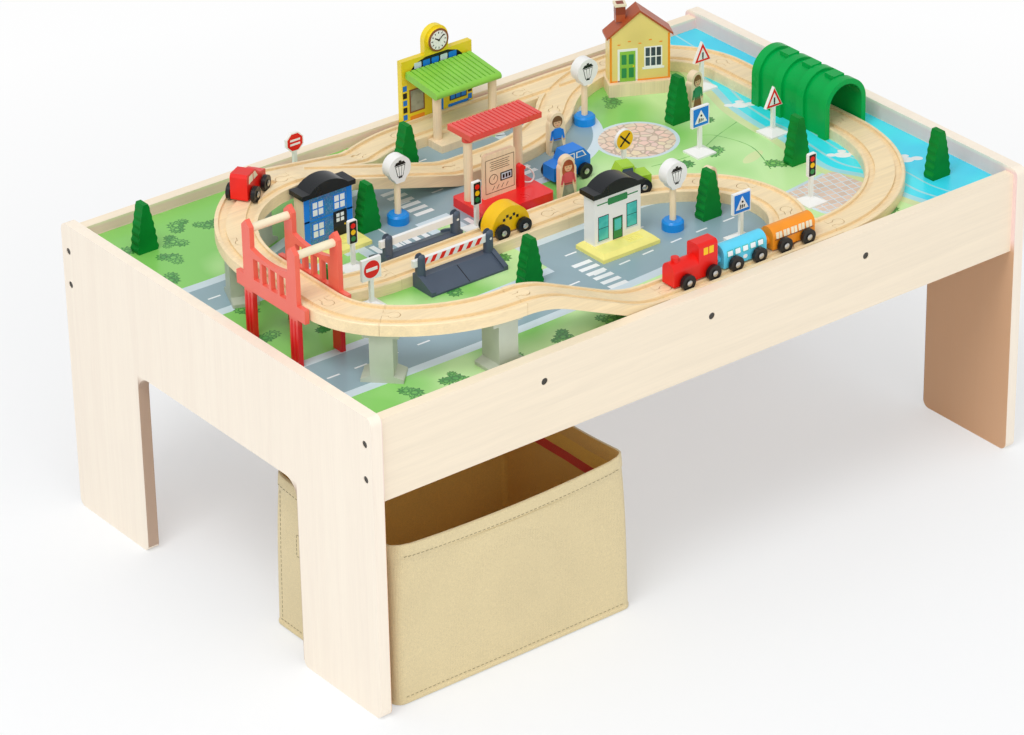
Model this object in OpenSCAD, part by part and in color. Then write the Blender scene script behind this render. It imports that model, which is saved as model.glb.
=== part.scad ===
// Wooden train table: a play board on two panel legs, with a railway, buildings, vehicles and a storage bin.
// The origin is on the floor under the middle of the table, +X runs along the table and the front is -Y.

/* [Table] */
// Length of the table over the end panels
table_l = 800; // [770:5:860]
// Width of the end panels
table_w = 510; // [505:5:560]
// Height of the end panels
table_h = 318; // [300:1:400]
// Thickness of the end panels
panel_t = 12; // [9:0.5:16]
// Thickness of the rails
rail_t = 12; // [10:0.5:16]
// Height of the rails
rail_h = 85; // [70:1:100]
// Set-back of the rails from the edges of the end panels
rail_setback = 5; // [2:0.5:8]
// Height of the end panels above the rails
panel_rise = 6; // [2:0.5:12]
// Depth of the play board below the top of the rails
board_drop = 12; // [8:0.5:18]
// Thickness of the play board
board_t = 6; // [4:0.5:9]
// Width of each leg
leg_w = 123; // [90:1:150]
// Height of the arch between the legs
arch_h = 200; // [180:1:215]
// Radius of the upper corners of the arch
arch_r = 18; // [5:1:40]
// Radius of the corners of the legs and panels
corner_r = 8; // [2:0.5:12]
// Width of the cross battens
batten_w = 30; // [20:1:50]
// Height of the cross battens
batten_h = 28; // [20:1:34]
// Diameter of the screw heads
screw_head_d = 7; // [5:0.5:9]
// Diameter of the screw shanks
screw_d = 4; // [3:0.5:5]
// Length of the screws
screw_l = 40; // [30:1:50]
// Depth of the screw heads below the surface
screw_sink = 0.8; // [0.5:0.1:2]

/* [Storage bin] */
// Length of the bin
bin_l = 280; // [240:5:300]
// Width of the bin
bin_w = 196; // [170:2:220]
// Height of the bin
bin_h = 170; // [140:2:190]
// Thickness of the bin's walls
bin_wall = 4; // [2:0.5:6]
// Radius of the bin's upright corners
bin_r = 9; // [6:0.5:15]
// Height of the sewn hem round the bin's mouth
bin_hem_h = 14; // [8:1:25]
// How far the hem stands out from the bin's walls
bin_hem_t = 1; // [0.5:0.1:2]
// Diameter of the piping round the bin's bottom
bin_piping_d = 4; // [2:0.5:6]

/* [Track] */
// Width of the track
track_w = 40; // [38:0.5:42]
// Thickness of the track
track_t = 12; // [10:0.5:14]
// Width of a wheel groove
groove_w = 6.4; // [5.6:0.1:7]
// Depth of a wheel groove
groove_d = 3; // [2:0.5:4]
// Distance between the two grooves, middle to middle
gauge = 26; // [24.5:0.5:27]
// Height of the sloped edge along the top of the track
track_edge = 1; // [0.5:0.1:1.5]
// Radius of the large curves
curve_r = 162; // [158:1:165]
// Radius of the small curves
small_r = 85; // [82:1:88]
// Height of the piers that carry the raised track
pier_h = 52; // [46:1:60]
// Length of the front ramp
front_ramp_l = 168; // [150:1:185]
// Length of the ramp on the middle line
middle_ramp_l = 200; // [170:1:215]
// Length of the track on the bridge
bridge_deck_l = 87.5; // [84:0.5:92]
// Length of the straight leg of the front switch
front_switch_l = 89.6; // [88:0.2:94]
// Length of the short straight on the inner line
inner_straight_l = 40; // [30:1:60]
// Diameter of a track peg's head
peg_d = 11; // [9:0.5:12]
// Width of a track peg's neck
peg_neck_w = 5; // [4:0.5:6]
// Distance of the peg's head from the end of the track
peg_reach = 11; // [10:0.5:13]
// Clearance round a peg in its socket
peg_clear = 0.6; // [0.4:0.1:0.8]

/* [Bridge and tunnel] */
// Height of the bridge's posts
bridge_post_h = 122; // [115:1:140]
// Width of a bridge post
bridge_post_w = 13; // [10:0.5:15]
// Thickness of a bridge side
bridge_side_t = 5; // [4:0.5:8]
// Distance between the posts of one bridge side
bridge_span = 72; // [68:1:76]
// Diameter of the bridge's crossbars
crossbar_d = 8; // [6:0.5:10]
// Length of the tunnel
tunnel_l = 114; // [100:1:130]
// Height of the tunnel
tunnel_h = 57; // [54:1:70]
// Thickness of the tunnel's wall
tunnel_wall = 2.6; // [2:0.1:4]

/* [Crossing] */
// Length of the crossing along the track
crossing_l = 91; // [80:1:105]
// Depth of each crossing ramp
crossing_d = 30; // [24:1:34]
// Height of the bollards
bollard_h = 36; // [32:1:44]
// Diameter of the bollards
bollard_d = 10; // [9:0.5:12]
// Height of the barriers' bars
barrier_h = 7; // [5:0.5:8]
// Thickness of the barriers' bars
barrier_t = 4; // [3:0.5:5]
// Diameter of the barriers' pivot pins
barrier_pin_d = 3; // [2:0.5:3.5]

/* [Buildings] */
// Length of the station's wall
station_l = 89; // [80:1:95]
// Height of the station's wall
station_h = 78; // [72:1:90]
// Thickness of the station's canopy
canopy_t = 7.5; // [5:0.5:9]
// Depth of the platform
platform_d = 23; // [18:1:24]
// Thickness of the platform
platform_t = 8; // [6:0.5:10]
// Length of the fuel station's base
fuel_l = 85; // [80:1:88]
// Depth of the fuel station's base
fuel_d = 56; // [50:1:60]
// Thickness of the fuel station's base
fuel_t = 10; // [8:0.5:12]
// Height of the fuel station's roof above the board
fuel_roof_z = 79; // [72:1:90]
// Diameter of the fuel station's hose
hose_d = 1.6; // [1.2:0.1:2]
// Diameter of the buildings' posts
post_d = 9; // [7:0.5:10]
// Width of the cottage
house_w = 64; // [56:1:66]
// Depth of the cottage
house_d = 20; // [16:1:21]
// Height of the cottage's eaves above its base
house_eaves_h = 51; // [46:1:60]
// Height of the cottage's gable above its eaves
house_gable_h = 26; // [22:1:34]
// Thickness of the cottage's base
house_base_t = 14; // [10:1:16]
// Width of the town house and the shop
shop_w = 57; // [50:1:60]
// Depth of the town house and the shop
shop_d = 16; // [13:0.5:17]
// Height of the town house and the shop above their bases
shop_h = 51; // [44:1:56]
// Height of their domed roofs
shop_roof_h = 14; // [12:1:20]
// Thickness of their bases
shop_base_t = 8; // [6:0.5:10]

/* [Trees, lamps, signs and figures] */
// Height of a tree
tree_h = 51; // [44:1:60]
// Width of a tree
tree_w = 25; // [20:1:27]
// Thickness of a tree
tree_t = 13; // [10:0.5:14]
// Height of a lamp's post above its base
lamp_post_h = 35; // [30:1:42]
// Diameter of a lamp's head
lamp_head_d = 26; // [22:1:30]
// Width of a sign's base
sign_base_w = 24; // [20:1:24]
// Height of a sign's middle above its base
sign_rise = 35; // [32:1:42]
// Size of a sign's plate
sign_w = 22; // [18:0.5:26]
// Thickness of a sign's plate
sign_t = 3.5; // [2.5:0.5:5]
// Height of a figure
figure_h = 46; // [40:1:52]
// Width of a figure
figure_w = 18; // [14:1:20]
// Thickness of a figure
figure_t = 8; // [6:0.5:9]

/* [Vehicles] */
// Diameter of the wheels
wheel_d = 16; // [15:0.5:18]
// Thickness of the wheels
wheel_t = 4.2; // [3.6:0.1:4.6]
// Diameter of the axles
axle_d = 3; // [2.5:0.1:3.5]
// Clearance round an axle in its hole
axle_clear = 0.05; // [0.02:0.01:0.1]
// Clearance between a wheel and the body beside it
wheel_clear = 2; // [0.8:0.1:2.4]
// Height of the bodies above the track
body_rise = 2; // [1.5:0.1:3]
// Length of the engine
loco_l = 53; // [51:1:60]
// Length of a coach
coach_l = 53; // [50:1:55]
// Gap between the train's vehicles
train_gap = 8; // [7:0.5:9]
// Wheelbase of the cars
car_base = 26; // [24:1:28]
// Length of the cars
car_l = 46; // [43:1:50]

/* [Hidden] */
$fn = 64;
// Overrun of the cuts
cut = 1;
// Gap between loose pieces that stand side by side
loose = 0.5;
// Gap between the ends of two track pieces
track_gap = 0.3;
// Gap round a screw in its hole
screw_clear = 0.1;

// The table's levels and inner sizes
rail_top = table_h - panel_rise;
board_top = rail_top - board_drop;
board_bottom = board_top - board_t;
board_l = table_l - 2 * panel_t;
rail_y = table_w / 2 - rail_setback - rail_t / 2;
board_w = 2 * rail_y - rail_t;
batten_shares = [-0.258, 0, 0.25];
rail_screw_shares = [0.3, 0.73];
batten_screw_share = 0.7;

// The bin's place, with its front a little inside the front edge of the panels
bin_side_gap = 12;
bin_front_gap = 8;
bin_x = -board_l / 2 + bin_side_gap;
bin_y = -table_w / 2 + bin_front_gap;

// The lines that the railway follows
ground_z = board_top;
track_top = ground_z + track_t;
raised_z = ground_z + pier_h;
rail_side_gap = 1;
station_wall_t = 7;
left_margin = 20;
right_margin = 30;
y_front = -board_w / 2 + rail_side_gap + track_w / 2;
y_back = board_w / 2 - station_wall_t - 2 * loose - track_w / 2;
x_left = -board_l / 2 + left_margin + track_w / 2;
x_right = board_l / 2 - right_margin - track_w / 2;

// A place on the board, in shares of the track's rectangle
function spot(shares) = [x_left + shares.x * (x_right - x_left), y_front + shares.y * (y_back - y_front)];

// A pose is [x, y, heading]: straight on by a length, or round a bend, with left turns positive
function ahead(pose, length) = [pose.x + length * cos(pose.z), pose.y + length * sin(pose.z), pose.z];
function bend(pose, radius, angle) = let (
  side = sign(angle),
  mid = [pose.x - side * radius * sin(pose.z), pose.y + side * radius * cos(pose.z)],
  heading = pose.z + angle
) [mid.x + side * radius * sin(heading), mid.y - side * radius * cos(heading), heading];

// Angles of the track pieces
half_turn = 45;
short_turn = 22.5;
fork_turn = 60;
close_turn = 30;

// The outer line's front and right side, each pose at the socket end of its piece
at_front_ramp = [x_left + small_r * (1 - cos(half_turn)) + curve_r * sin(half_turn), y_front, 0];
at_front_straight = ahead(at_front_ramp, front_ramp_l);
at_front_switch = [x_right - curve_r - front_switch_l, y_front, 0];
at_right_loop = ahead(at_front_switch, front_switch_l);
at_right_straight = bend(at_right_loop, curve_r, 2 * half_turn);
right_straight_l = y_back - small_r - at_right_straight.y;
at_right_back = ahead(at_right_straight, right_straight_l);
at_back_switch = bend(at_right_back, small_r, 2 * half_turn);
back_switch_l = curve_r * sin(half_turn);
at_back_straight = ahead(at_back_switch, back_switch_l);

// The raised left loop, worked back from the front ramp
at_corner_big = [
  at_front_ramp.x - curve_r * sin(half_turn), y_front + curve_r * (1 - cos(half_turn)), -half_turn
];
at_corner_small = [x_left, at_corner_big.y + small_r * sin(half_turn), -2 * half_turn];
at_bridge = [x_left, at_corner_small.y + bridge_deck_l, -2 * half_turn];
loop_mid = [x_left + curve_r, at_bridge.y];
function on_loop(angle) = [
  loop_mid.x + curve_r * cos(angle), loop_mid.y + curve_r * sin(angle), angle + 2 * half_turn
];
at_left_short = on_loop(4 * half_turn - short_turn);
at_left_switch = on_loop(2 * half_turn + short_turn);

// The back ramp and the kink in front of it
kink_drop = curve_r * (1 - cos(short_turn));
back_ramp_l = (y_back - kink_drop - at_left_switch.y) / sin(short_turn);
at_back_ramp = ahead(at_left_switch, -back_ramp_l);
at_kink = [at_back_ramp.x + curve_r * sin(short_turn), y_back, 4 * half_turn];

// The middle line, from the back switch to the left switch
at_middle_curve = bend(at_back_switch, curve_r, half_turn);
at_middle_straight = bend(at_middle_curve, curve_r, -half_turn);
switch_inner_turn = 4 * half_turn - 2 * half_turn - short_turn;
switch_inner_r = (at_middle_straight.y - at_left_short.y) / (1 - cos(switch_inner_turn));
at_left_switch_inner = [
  at_left_short.x + switch_inner_r * sin(switch_inner_turn), at_middle_straight.y, 4 * half_turn
];
at_middle_ramp = ahead(at_left_switch_inner, -middle_ramp_l);
middle_straight_l = at_middle_straight.x - at_middle_ramp.x;
// Where the two raised ramps run into one another they are mitred, at half of the angle between them
mitre_turn = short_turn / 2;
back_apex_l = (at_left_switch.y - at_middle_straight.y) / sin(short_turn);
middle_apex_l = back_apex_l * cos(short_turn) + at_left_switch_inner.x - at_left_switch.x;

// The inner line, from the front switch to its blind end
blind_setback = 24;
at_inner_first = bend(at_front_switch, small_r, fork_turn);
at_inner_second = bend(at_inner_first, small_r, half_turn);
at_inner_big = bend(at_inner_second, small_r, close_turn);
at_inner_straight = bend(at_inner_big, curve_r, half_turn);
at_inner_long = ahead(at_inner_straight, inner_straight_l);
inner_long_l = at_inner_long.x - loop_mid.x + blind_setback;
at_blind = ahead(at_inner_long, inner_long_l);
y_inner = at_blind.y;

// Shares of a ramp's length over which its slope grows at each end, for the front ramp and the others
front_blend_share = 0.3;
back_blend_share = 0.09;
ramp_steps = 24;
arc_step = 2.5;
// Overrun of the grooves that follow an arc
over_turn = 1;

// Piers
pier_top_w = 34;
pier_top_t = 6;
pier_web_w = 22;
pier_foot_w = 40;
pier_foot_t = 7;
pier_depth = 26;

// Bridge, with its sides just clear of the track
bridge_clear = 1.2;
bridge_inner_w = track_w + 2 * bridge_clear;
bridge_y = at_bridge.y - bridge_deck_l / 2;
bridge_sill_drop = 2;
bridge_sill = pier_h - bridge_sill_drop;
bridge_beam_h = 14;
bridge_beam_over = 12;
bridge_beam_l = bridge_span + bridge_post_w + 2 * bridge_beam_over;
bridge_panel_h = 47;
bridge_sag = 7;
window_count = 4;
window_bar = 3.6;
window_sill = 12;
window_h = 24;
flute_d = 2.4;

// Tunnel, round the track on the right
tunnel_inner_w = track_w + 3;
tunnel_w = tunnel_inner_w + 2 * tunnel_wall;
tunnel_offset = 1;
tunnel_x = x_right + tunnel_offset;
tunnel_y_share = 0.51;
tunnel_y = y_front + tunnel_y_share * (y_back - y_front);
tunnel_ribs = 4;
tunnel_rib_t = 3;
tunnel_rib_l = 11;
lug_w = 14;
lug_l = 14;
lug_h = 4;

// Level crossing, on the inner line
crossing_share = 0.2856;
crossing_x = x_left + crossing_share * (x_right - x_left);
crossing_flat = 9;
crossing_lip = 2;
kerb_w = 5;
kerb_h = 2.5;
bollard_x = crossing_l / 2 - bollard_d / 2;
pivot_drop = 9;
pivot_h = bollard_h - pivot_drop;
barrier_gap = 0.3;
barrier_over = 9;

// Station, against the back rail
station_share = 0.565;
station_x = x_left + station_share * (x_right - x_left);
clock_d = 24;
clock_rim = 3;
clock_lift = 14;
platform_short = 2;
platform_l = station_l - platform_short;
platform_y = y_back - track_w / 2 - loose - platform_d / 2;
canopy_slope = 7;
canopy_l = 82;
canopy_ribs = 14;
canopy_z = 60;
canopy_back_y = board_w / 2 - station_wall_t - 2 * loose - canopy_t * sin(canopy_slope);
canopy_post_y = platform_y + platform_d / 2 - post_d / 2 - loose;
canopy_d = (canopy_back_y - canopy_post_y + post_d / 2) / cos(canopy_slope);
canopy_post_x = 35;
rib_groove_w = 1.4;
rib_groove_d = 1.2;

// Fuel station
fuel_shares = [0.473, 0.602];
fuel_x = spot(fuel_shares).x;
fuel_y = spot(fuel_shares).y;
fuel_corner_r = 4;
fuel_post_shares = [[-0.4, 0.2], [0.4, 0.35]];
fuel_cap_h = 5;
fuel_cap_rim = 1.2;
fuel_roof_over = 1.5;
fuel_roof_l = fuel_l + 2 * fuel_roof_over;
fuel_roof_d = 37;
fuel_roof_t = 6;
fuel_roof_x = 4;
fuel_roof_y = 17;
fuel_ribs = 18;
fuel_panel_x = -3;
fuel_panel_y = 3;
fuel_panel_w = 39;
fuel_panel_h = 47;
fuel_panel_t = 4;
pump_x = 23;
pump_y = 2;
pump_w = 6;
pump_h = 26;
pump_t = 6;
hose_rings = 24;
hose_sides = 8;
// Route of the hose from the nozzle's top to its foot, chosen by hand
hose_route = [
  [4.5, 0, 20.5], [9, -0.5, 18.5], [13.5, -1.5, 13.5], [15.5, -2, 7.5], [12.5, -2, 3], [7.5, -1, 3],
  [3, 0, 5],
];

// Cottage, turned on the lawn
house_turn = -27;
house_shares = [0.858, 0.862];
at_house = [spot(house_shares).x, spot(house_shares).y, house_turn];
house_base_rim = 2;
house_base_front = 6;
house_over = 3;
house_roof_t = 2.5;
chimney_x = 19;
chimney_w = 10;
chimney_h = 17;

// Town house and shop
shop_shares = [[0.201, 0.698], [0.515, 0.286]];
shop_base_w = 70;
shop_base_d = 43;
shop_base_front = 30;
shop_over = 3;
shop_brim_t = 5;
shop_dome_w = 45;

// Lamps, by their bases' places
lamp_shares = [[0.321, 0.679], [0.728, 0.815], [0.609, 0.255]];
lamp_base_h = 10;
lamp_base_d = 22;
lamp_post_d = 6.5;
lamp_edge = 2;
lamp_head_t = 12;
lamp_neck_w = 10;

// Trees, by their places
tree_shares = [
  [-0.006, 0.932], [0.43, 0.883], [0.2735, 0.693], [0.348, 0.246], [0.838, 0.681], [0.671, 0.248],
  [0.883, 0.333], [1.009, 0.07], [0.0816, 0.4087],
];
tree_tip_share = 0.25;
tree_wave_share = 0.12;
tree_taper = 1.4;
tree_tiers = 6;
tree_steps = 30;

// Signs and traffic lights, by their places
round_sign_shares = [[0.66, 0.532]];
square_sign_shares = [[0.794, 0.515], [0.659, 0.112], [0.1394, 0.382]];
octagon_sign_shares = [[0.289, 1.012]];
triangle_sign_shares = [[0.941, 0.79], [0.92, 0.487]];
light_shares = [[0.185, 0.552], [0.391, 0.53], [0.813, 0.155]];
sign_shares = concat(
  round_sign_shares, square_sign_shares, octagon_sign_shares, triangle_sign_shares, light_shares
);
sign_base_h = 6;
sign_slope_w = 8;
sign_slope_h = 4;
sign_post_w = 4;
light_w = 10;
light_h = 25;
light_r = 1.5;

// Figures, by their places
figure_shares = [[0.632, 0.731], [0.554, 0.532], [0.8776, 0.695], [0.688, 0.279]];
figure_turns = [-10, -10, 10, 10];
figure_head_d = 15;

// Vehicles
wheel_lift = 0.3;
axle_h = wheel_d / 2 - groove_d + wheel_lift;
body_w = gauge - wheel_t - 2 * wheel_clear;
hub_d = 7;
hub_h = 1.6;
loco_axles = [13, -18.5];
coach_axles = [14.5, -14.5];
car_axles = [car_base / 2, -car_base / 2];
cab_l = 22;
cab_h = 35;
cab_r = 4;
boiler_h = 23;
chimney_d = 8;
chimney_rise = 4;
coach_h = 22;
magnet_d = 8;
magnet_t = 3;
magnet_z = body_rise + magnet_d;
car_h = 26;
hatch_shares = [[-0.5, 0], [0.5, 0], [0.5, 0.88], [0.45, 1], [0.06, 0.96], [-0.2, 0.62], [-0.5, 0.5]];
jeep_shares = [[-0.5, 0], [0.5, 0], [0.5, 0.55], [0.22, 0.62], [0.12, 1], [-0.32, 1], [-0.5, 0.62]];
truck_shares = [
  [-0.5, 0], [0.5, 0], [0.5, 0.5], [0.3, 0.58], [0.18, 1], [-0.1, 1], [-0.14, 0.5], [-0.5, 0.5],
];

// Where the vehicles stand, each pose at the vehicle's middle
train_lead = 14.5;
at_loco = [at_front_straight.x + train_lead + loco_l / 2, y_front, 4 * half_turn];
at_blue_coach = ahead(at_loco, -loco_l / 2 - train_gap - coach_l / 2);
at_orange_coach = ahead(at_blue_coach, -coach_l - train_gap);
// A car on a bend stands a little inside the line, so that both its axles keep to the grooves
chord_drop = pow(car_base / 2, 2) / (2 * curve_r);
function on_arc(mid, angle) = [
  mid.x + (curve_r - chord_drop) * cos(angle),
  mid.y + (curve_r - chord_drop) * sin(angle),
  angle + 2 * half_turn,
];
red_car_turn = 123;
green_truck_turn = 74.6;
at_red_car = on_arc(loop_mid, red_car_turn);
at_green_truck = on_arc([at_inner_straight.x, at_inner_straight.y - curve_r], green_truck_turn);
yellow_car_share = 0.404;
at_yellow_car = [x_left + yellow_car_share * (x_right - x_left), y_inner, 4 * half_turn];
blue_car_shares = [0.595, 0.614];
at_blue_car = [spot(blue_car_shares).x, spot(blue_car_shares).y, 4 * half_turn];
board_car_z = ground_z + groove_d;

// Plain shapes

// A square's corner outside a rounding, at the origin, to be cut away or filled in
module corner_cut(radius) {
  difference() {
    translate([-cut, -cut]) square(radius + cut);
    translate([radius, radius]) circle(radius);
  }
}

// A rectangle centred on X and standing on the X axis, with rounded lower and upper corners
module round_rect(width, height, lower_r, upper_r) {
  difference() {
    translate([-width / 2, 0]) square([width, height]);
    for (side = [0, 1])
      mirror([side, 0]) {
        translate([-width / 2, 0]) corner_cut(lower_r);
        translate([-width / 2, height]) mirror([0, 1]) corner_cut(upper_r);
      }
  }
}

// A flat shape drawn in X and Z, as thick as stated and centred on Y
module upright(thickness) {
  translate([0, thickness / 2, 0]) rotate([90, 0, 0]) linear_extrude(thickness) children();
}

// Puts its children at a pose, on a level
module place(pose, level = ground_z) {
  translate([pose.x, pose.y, level]) rotate([0, 0, pose.z]) children();
}

// Puts copies of its children at places on the board, at a level above it
module spots(places, level) {
  for (shares = places) translate([spot(shares).x, spot(shares).y, ground_z + level]) children();
}

// A block on the board whose upper edges slope in on all four sides
module bevel_side(width, height, slope_w, slope_h) {
  polygon([
    [-width / 2, 0], [width / 2, 0], [width / 2, height - slope_h], [width / 2 - slope_w, height],
    [slope_w - width / 2, height], [-width / 2, height - slope_h],
  ]);
}

module bevel_block(width, depth, height, slope_w, slope_h) {
  intersection() {
    upright(depth) bevel_side(width, height, slope_w, slope_h);
    rotate([0, 0, 90]) upright(width) bevel_side(depth, height, slope_w, slope_h);
  }
}

// Table

module panel_outline() {
  for (side = [0, 1])
    mirror([side, 0]) {
      translate([-table_w / 2 + leg_w / 2, 0]) round_rect(leg_w, arch_h + corner_r + cut, corner_r, 0);
      translate([-table_w / 2 + leg_w, arch_h]) mirror([0, 1]) corner_cut(arch_r);
    }
  translate([0, arch_h]) round_rect(table_w, table_h - arch_h, 0, corner_r);
}

module end_panel(side) {
  difference() {
    translate([side * (table_l - panel_t) / 2 - panel_t / 2, 0, 0])
      rotate([90, 0, 90]) linear_extrude(panel_t) panel_outline();
    panel_screw_places() screw_hole();
  }
}

module end_panel_left() {
  color("burlywood") end_panel(-1);
}

module end_panel_right() {
  color("burlywood") end_panel(1);
}

module rail(side) {
  difference() {
    translate([-board_l / 2, side * rail_y - rail_t / 2, rail_top - rail_h]) cube([board_l, rail_t, rail_h]);
    panel_screw_places() screw_hole();
    batten_screw_places() screw_hole();
  }
}

module front_rail() {
  color("burlywood") rail(-1);
}

module back_rail() {
  color("burlywood") rail(1);
}

module play_board() {
  color("yellowgreen")
    translate([-board_l / 2, -board_w / 2, board_bottom]) cube([board_l, board_w, board_t]);
}

module board_battens() {
  color("tan")
    difference() {
      for (share = batten_shares)
        translate([share * board_l - batten_w / 2, -board_w / 2, board_bottom - batten_h])
          cube([batten_w, board_w, batten_h]);
      batten_screw_places() screw_hole();
    }
}

// A screw along X, driven towards +X from a surface at the origin
module screw(gap = 0) {
  rotate([0, 90, 0]) {
    translate([0, 0, screw_sink]) cylinder(d = screw_d + 2 * gap, h = screw_l + gap);
    translate([0, 0, screw_sink]) cylinder(d = screw_head_d + 2 * gap, h = screw_head_d / 2);
  }
}

module screw_hole() {
  screw(screw_clear);
  rotate([0, 90, 0])
    translate([0, 0, -cut]) cylinder(d = screw_head_d + 2 * screw_clear, h = screw_sink + 2 * cut);
}

module panel_screw_places() {
  for (end = [0, 1], front = [0, 1], share = rail_screw_shares)
    mirror([end, 0, 0]) mirror([0, front, 0])
      translate([-table_l / 2, -rail_y, rail_top - rail_h + share * rail_h]) children();
}

module batten_screw_places() {
  level = board_bottom - batten_h + batten_screw_share * batten_h;
  for (front = [0, 1], share = batten_shares)
    mirror([0, front, 0])
      translate([share * board_l, -rail_y - rail_t / 2, level]) rotate([0, 0, 90]) children();
}

module frame_screws() {
  color("dimgray") {
    panel_screw_places() screw();
    batten_screw_places() screw();
  }
}

// Storage bin

module bin_outline(grow) {
  translate([0, -grow]) round_rect(bin_l + 2 * grow, bin_w + 2 * grow, bin_r + grow, bin_r + grow);
}

module storage_bin() {
  color("khaki")
    translate([bin_x + bin_l / 2, bin_y, 0])
      difference() {
        union() {
          linear_extrude(bin_h) bin_outline(0);
          translate([0, 0, bin_h - bin_hem_h]) linear_extrude(bin_hem_h) bin_outline(bin_hem_t);
          linear_extrude(bin_piping_d) bin_outline(bin_hem_t);
        }
        translate([0, 0, bin_wall]) linear_extrude(bin_h) bin_outline(-bin_wall);
      }
}

// Track

// Cross-section of a track, centred on X and standing on the X axis
module track_section() {
  difference() {
    polygon([
      [-track_w / 2, 0], [track_w / 2, 0], [track_w / 2, track_t - track_edge],
      [track_w / 2 - track_edge, track_t], [track_edge - track_w / 2, track_t],
      [-track_w / 2, track_t - track_edge],
    ]);
    for (side = [-1, 1])
      translate([side * gauge / 2 - groove_w / 2, track_t - groove_d]) square([groove_w, groove_d + cut]);
  }
}

// A peg that stands out past the end of a piece, at the origin
module peg(height = track_t, gap = 0) {
  linear_extrude(height) {
    translate([-cut, -peg_neck_w / 2 - gap]) square([peg_reach + cut, peg_neck_w + 2 * gap]);
    translate([peg_reach, 0]) circle(d = peg_d + 2 * gap);
  }
}

// The socket for it, with the gap that stays open between two pieces
module socket() {
  socket_hole();
  translate([-cut, -track_w, -track_t]) cube([cut + track_gap, 2 * track_w, 3 * track_t]);
}

module socket_hole() {
  translate([0, 0, -track_t]) peg(3 * track_t, peg_clear);
}

// A straight piece along +X
module straight_piece(length) {
  difference() {
    rotate([90, 0, 90]) linear_extrude(length) track_section();
    socket();
  }
  translate([length, 0, 0]) peg();
}

// A curved piece that sets out along +X and bends left, or right for a negative angle
module curved_piece(radius, angle, ends = true) {
  mirror([0, angle < 0 ? 1 : 0, 0])
    translate([0, radius, 0]) rotate([0, 0, -90]) {
      difference() {
        rotate_extrude(angle = abs(angle), $fn = 180) translate([radius, 0]) track_section();
        translate([radius, 0, 0]) rotate([0, 0, 90]) socket();
      }
      if (ends) rotate([0, 0, abs(angle)]) translate([radius, 0, 0]) rotate([0, 0, 90]) peg();
    }
}

// Height share of a ramp at a share of its length: its slope grows, stays and falls again
function ramp_share(share, blend) = let (steep = 1 / (1 - blend), bow = steep / blend / 2)
  share < blend ? bow * pow(share, 2)
  : share > 1 - blend ? 1 - bow * pow(1 - share, 2)
  : bow * pow(blend, 2) + steep * (share - blend);
function ramp_line(length, blend, lift) = [
  for (step = [0:ramp_steps])
    [step / ramp_steps * length, lift + pier_h * ramp_share(step / ramp_steps, blend)]
];
function reversed(points) = [for (i = [1:len(points)]) points[len(points) - i]];
function ramp_band(length, blend, low, high) = concat(
  ramp_line(length, blend, low), reversed(ramp_line(length, blend, high))
);

// A ramp along +X that climbs from the board to the raised track
module ramp_slab(length, blend) {
  difference() {
    upright(track_w) polygon(ramp_band(length, blend, 0, track_t));
    for (side = [-1, 1])
      translate([0, side * gauge / 2, 0])
        upright(groove_w) polygon(ramp_band(length, blend, track_t - groove_d, 2 * track_t));
  }
}

// The half of the board on one side of a mitre, seen from the raised end of a ramp that comes in along +X
module mitre_side(length, apex_l, side) {
  inner_w = apex_l * tan(mitre_turn);
  outer_w = (length + apex_l) * tan(mitre_turn);
  linear_extrude(2 * pier_h)
    polygon([
      [cut, side * (inner_w - cut * tan(mitre_turn) - track_gap / 2)],
      [-length, side * (outer_w - track_gap / 2)], [-length, side * (outer_w + track_w)],
      [cut, side * (outer_w + track_w)],
    ]);
}

// Points along an arc about a middle, from one angle to another
function arc_points(mid, radius, from, to) = let (steps = ceil(abs(to - from) / arc_step)) [
  for (step = [0:steps])
    let (angle = from + (to - from) * step / steps)
      [mid.x + radius * cos(angle), mid.y + radius * sin(angle)]
];

// A groove along an arc, cut from the top of a flat piece
module bent_groove(mid, radius, from, to) {
  for (side = [-1, 1])
    translate([0, 0, track_t - groove_d])
      linear_extrude(groove_d + cut)
        polygon(concat(
          arc_points(mid, radius + side * gauge / 2 - groove_w / 2, from, to),
          arc_points(mid, radius + side * gauge / 2 + groove_w / 2, to, from)
        ));
}

module straight_groove(length) {
  for (side = [-1, 1])
    translate([-cut, side * gauge / 2 - groove_w / 2, track_t - groove_d])
      cube([length + 2 * cut, groove_w, groove_d + cut]);
}

// A switch along +X with a straight leg and a leg that bends left: the legs part where their edges cross
module switch_piece(straight_l, radius, angle) {
  mid = [0, radius];
  start = -2 * half_turn;
  part_turn = acos((radius - track_w / 2) / (radius + track_w / 2));
  difference() {
    linear_extrude(track_t)
      polygon(concat(
        [[0, -track_w / 2], [straight_l, -track_w / 2], [straight_l, track_w / 2]],
        arc_points(mid, radius + track_w / 2, part_turn + start, angle + start),
        arc_points(mid, radius - track_w / 2, angle + start, start)
      ));
    straight_groove(straight_l);
    bent_groove(mid, radius, start, angle + start + over_turn);
    socket();
  }
  translate([straight_l, 0, 0]) peg();
  place(bend([0, 0, 0], radius, angle), 0) peg();
}

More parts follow.
